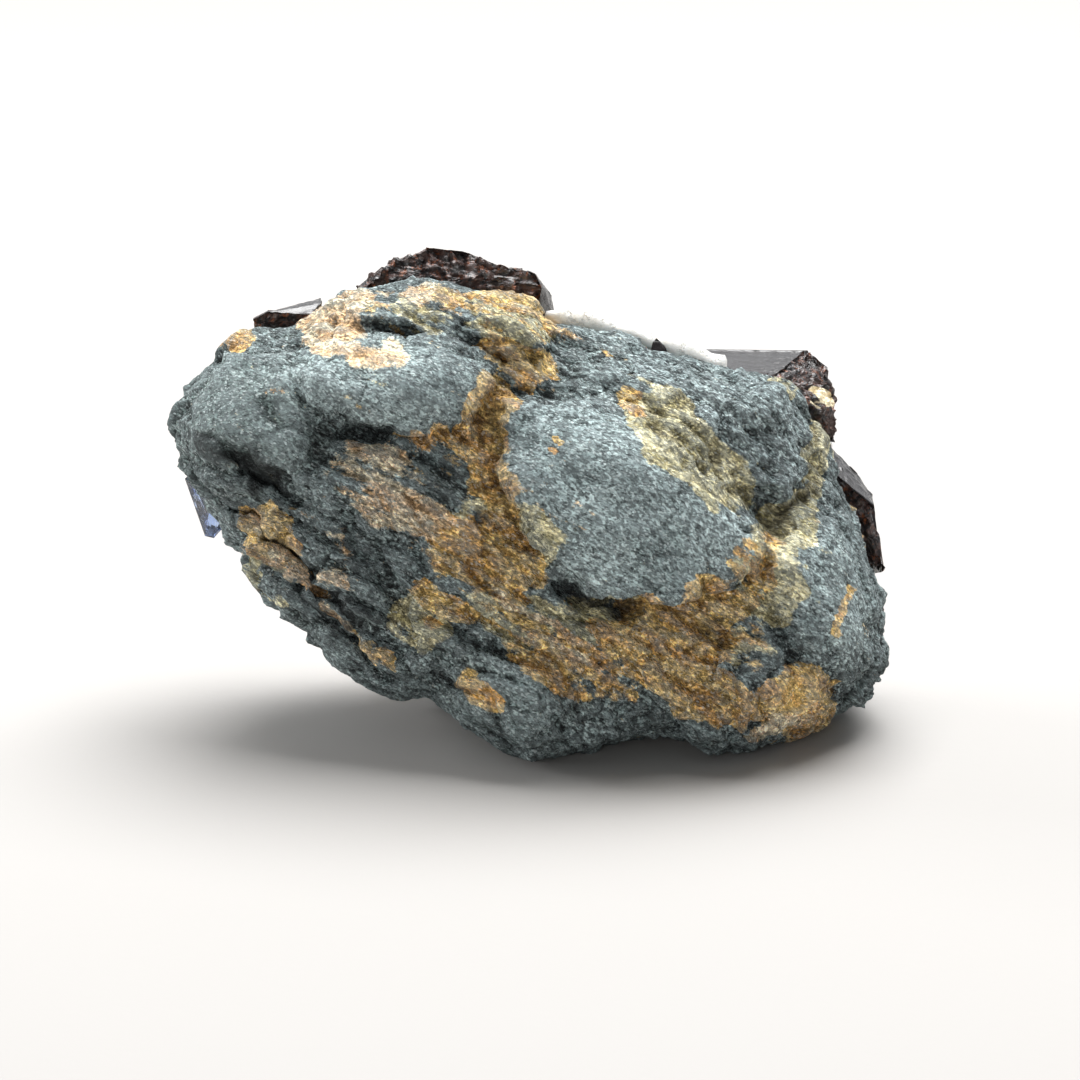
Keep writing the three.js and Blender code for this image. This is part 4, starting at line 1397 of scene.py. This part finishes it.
# The soft lights: place, the point that they face and width, in metres.
LIGHTS = {
    "overhead": ((0.1, 0.23, 0.75), (0, 0, 0.02), 0.72),
    "side": ((-0.75, 0.3, 0.26), (0, 0, 0.01), 0.4),
    "front": ((-0.25, -1.1, 0.24), (0, 0, 0.02), 0.45),
}
FLOOR_REACH = 4.0
SENSOR_WIDTH = 36.0


def add_light(name, location, target, size, power):
    """A square soft light that points at a target."""
    light = bpy.data.lights.new(name, "AREA")
    light.size = size
    light.energy = power
    lamp = bpy.data.objects.new(name, light)
    lamp.location = location
    lamp.rotation_euler = (Vector(target) - Vector(location)).to_track_quat("-Z", "Y").to_euler()
    bpy.context.scene.collection.objects.link(lamp)


class SPECIMEN_OT_stage(bpy.types.Operator):
    """Sets the camera, the white floor and the soft lights"""

    bl_idname = "specimen.stage"
    bl_label = "Stage"

    def execute(self, context):
        scene = context.scene
        stage = scene.specimen_stage
        data = bpy.data.cameras.new("camera")
        data.lens = stage.focal_length
        data.sensor_width = SENSOR_WIDTH
        data.clip_start = 0.01
        away = stage.view_width * data.lens / data.sensor_width
        camera = bpy.data.objects.new("camera", data)
        middle = Vector((0.0, 0.0, -FLOOR * MM))
        camera.location = middle + away * Vector((0.0, -np.cos(LEAN), np.sin(LEAN)))
        camera.rotation_euler = (np.pi / 2 - LEAN, 0.0, 0.0)
        scene.collection.objects.link(camera)
        scene.camera = camera

        corners = [(x * FLOOR_REACH, y * FLOOR_REACH, 0.0) for x, y in ((-1, -1), (1, -1), (1, 1), (-1, 1))]
        mesh = bpy.data.meshes.new("floor")
        mesh.from_pydata(corners, [], [(0, 1, 2, 3)])
        mesh.materials.append(floor_material())
        floor = bpy.data.objects.new("floor", mesh)
        scene.collection.objects.link(floor)

        world = bpy.data.worlds.new("white surroundings")
        world.use_nodes = True
        tree = world.node_tree
        behind = node(tree, "SeparateXYZ", {0: node(tree, "TexCoord").outputs["Generated"]}).outputs["Y"]
        strength = remapped(tree, behind, 0.3, 0.95, stage.sky, stage.backdrop)
        filled(tree, tree.nodes["Background"], {"Color": DAYLIGHT, "Strength": strength})
        scene.world = world
        for name, (place, target, size) in LIGHTS.items():
            add_light(name, place, target, size, getattr(stage, name))
        scene.view_settings.view_transform = "Standard"
        scene.view_settings.look = "None"
        return {"FINISHED"}


PIECES = (SPECIMEN_OT_rock, SPECIMEN_OT_crust, SPECIMEN_OT_needles, SPECIMEN_OT_neptunites,
          SPECIMEN_OT_benitoites, SPECIMEN_OT_stage)
SETTINGS = {
    "specimen_colours": SPECIMEN_PG_colours,
    "specimen_shapes": SPECIMEN_PG_shapes,
    "specimen_stage": SPECIMEN_PG_stage,
}


class SPECIMEN_PT_panel(bpy.types.Panel):
    """Lists the pieces and the settings"""

    bl_idname = "SPECIMEN_PT_panel"
    bl_label = "Benitoite specimen"
    bl_space_type = "VIEW_3D"
    bl_region_type = "UI"
    bl_category = "Specimen"

    def draw(self, context):
        for piece in PIECES:
            self.layout.operator(piece.bl_idname)
        for key, group in SETTINGS.items():
            for setting in group.__annotations__:
                self.layout.prop(getattr(context.scene, key), setting)


def register():
    for group in SETTINGS.values():
        bpy.utils.register_class(group)
    for key, group in SETTINGS.items():
        setattr(bpy.types.Scene, key, PointerProperty(type=group))
    for piece in PIECES:
        bpy.utils.register_class(piece)
    bpy.utils.register_class(SPECIMEN_PT_panel)


def unregister():
    bpy.utils.unregister_class(SPECIMEN_PT_panel)
    for piece in reversed(PIECES):
        bpy.utils.unregister_class(piece)
    for key in SETTINGS:
        delattr(bpy.types.Scene, key)
    for group in reversed(SETTINGS.values()):
        bpy.utils.unregister_class(group)


def main():
    """Registers the classes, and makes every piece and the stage."""
    register()
    for name in ("rock", "crust", "needles", "neptunites", "benitoites", "stage"):
        getattr(bpy.ops.specimen, name)()


if __name__ == "__main__":
    main()
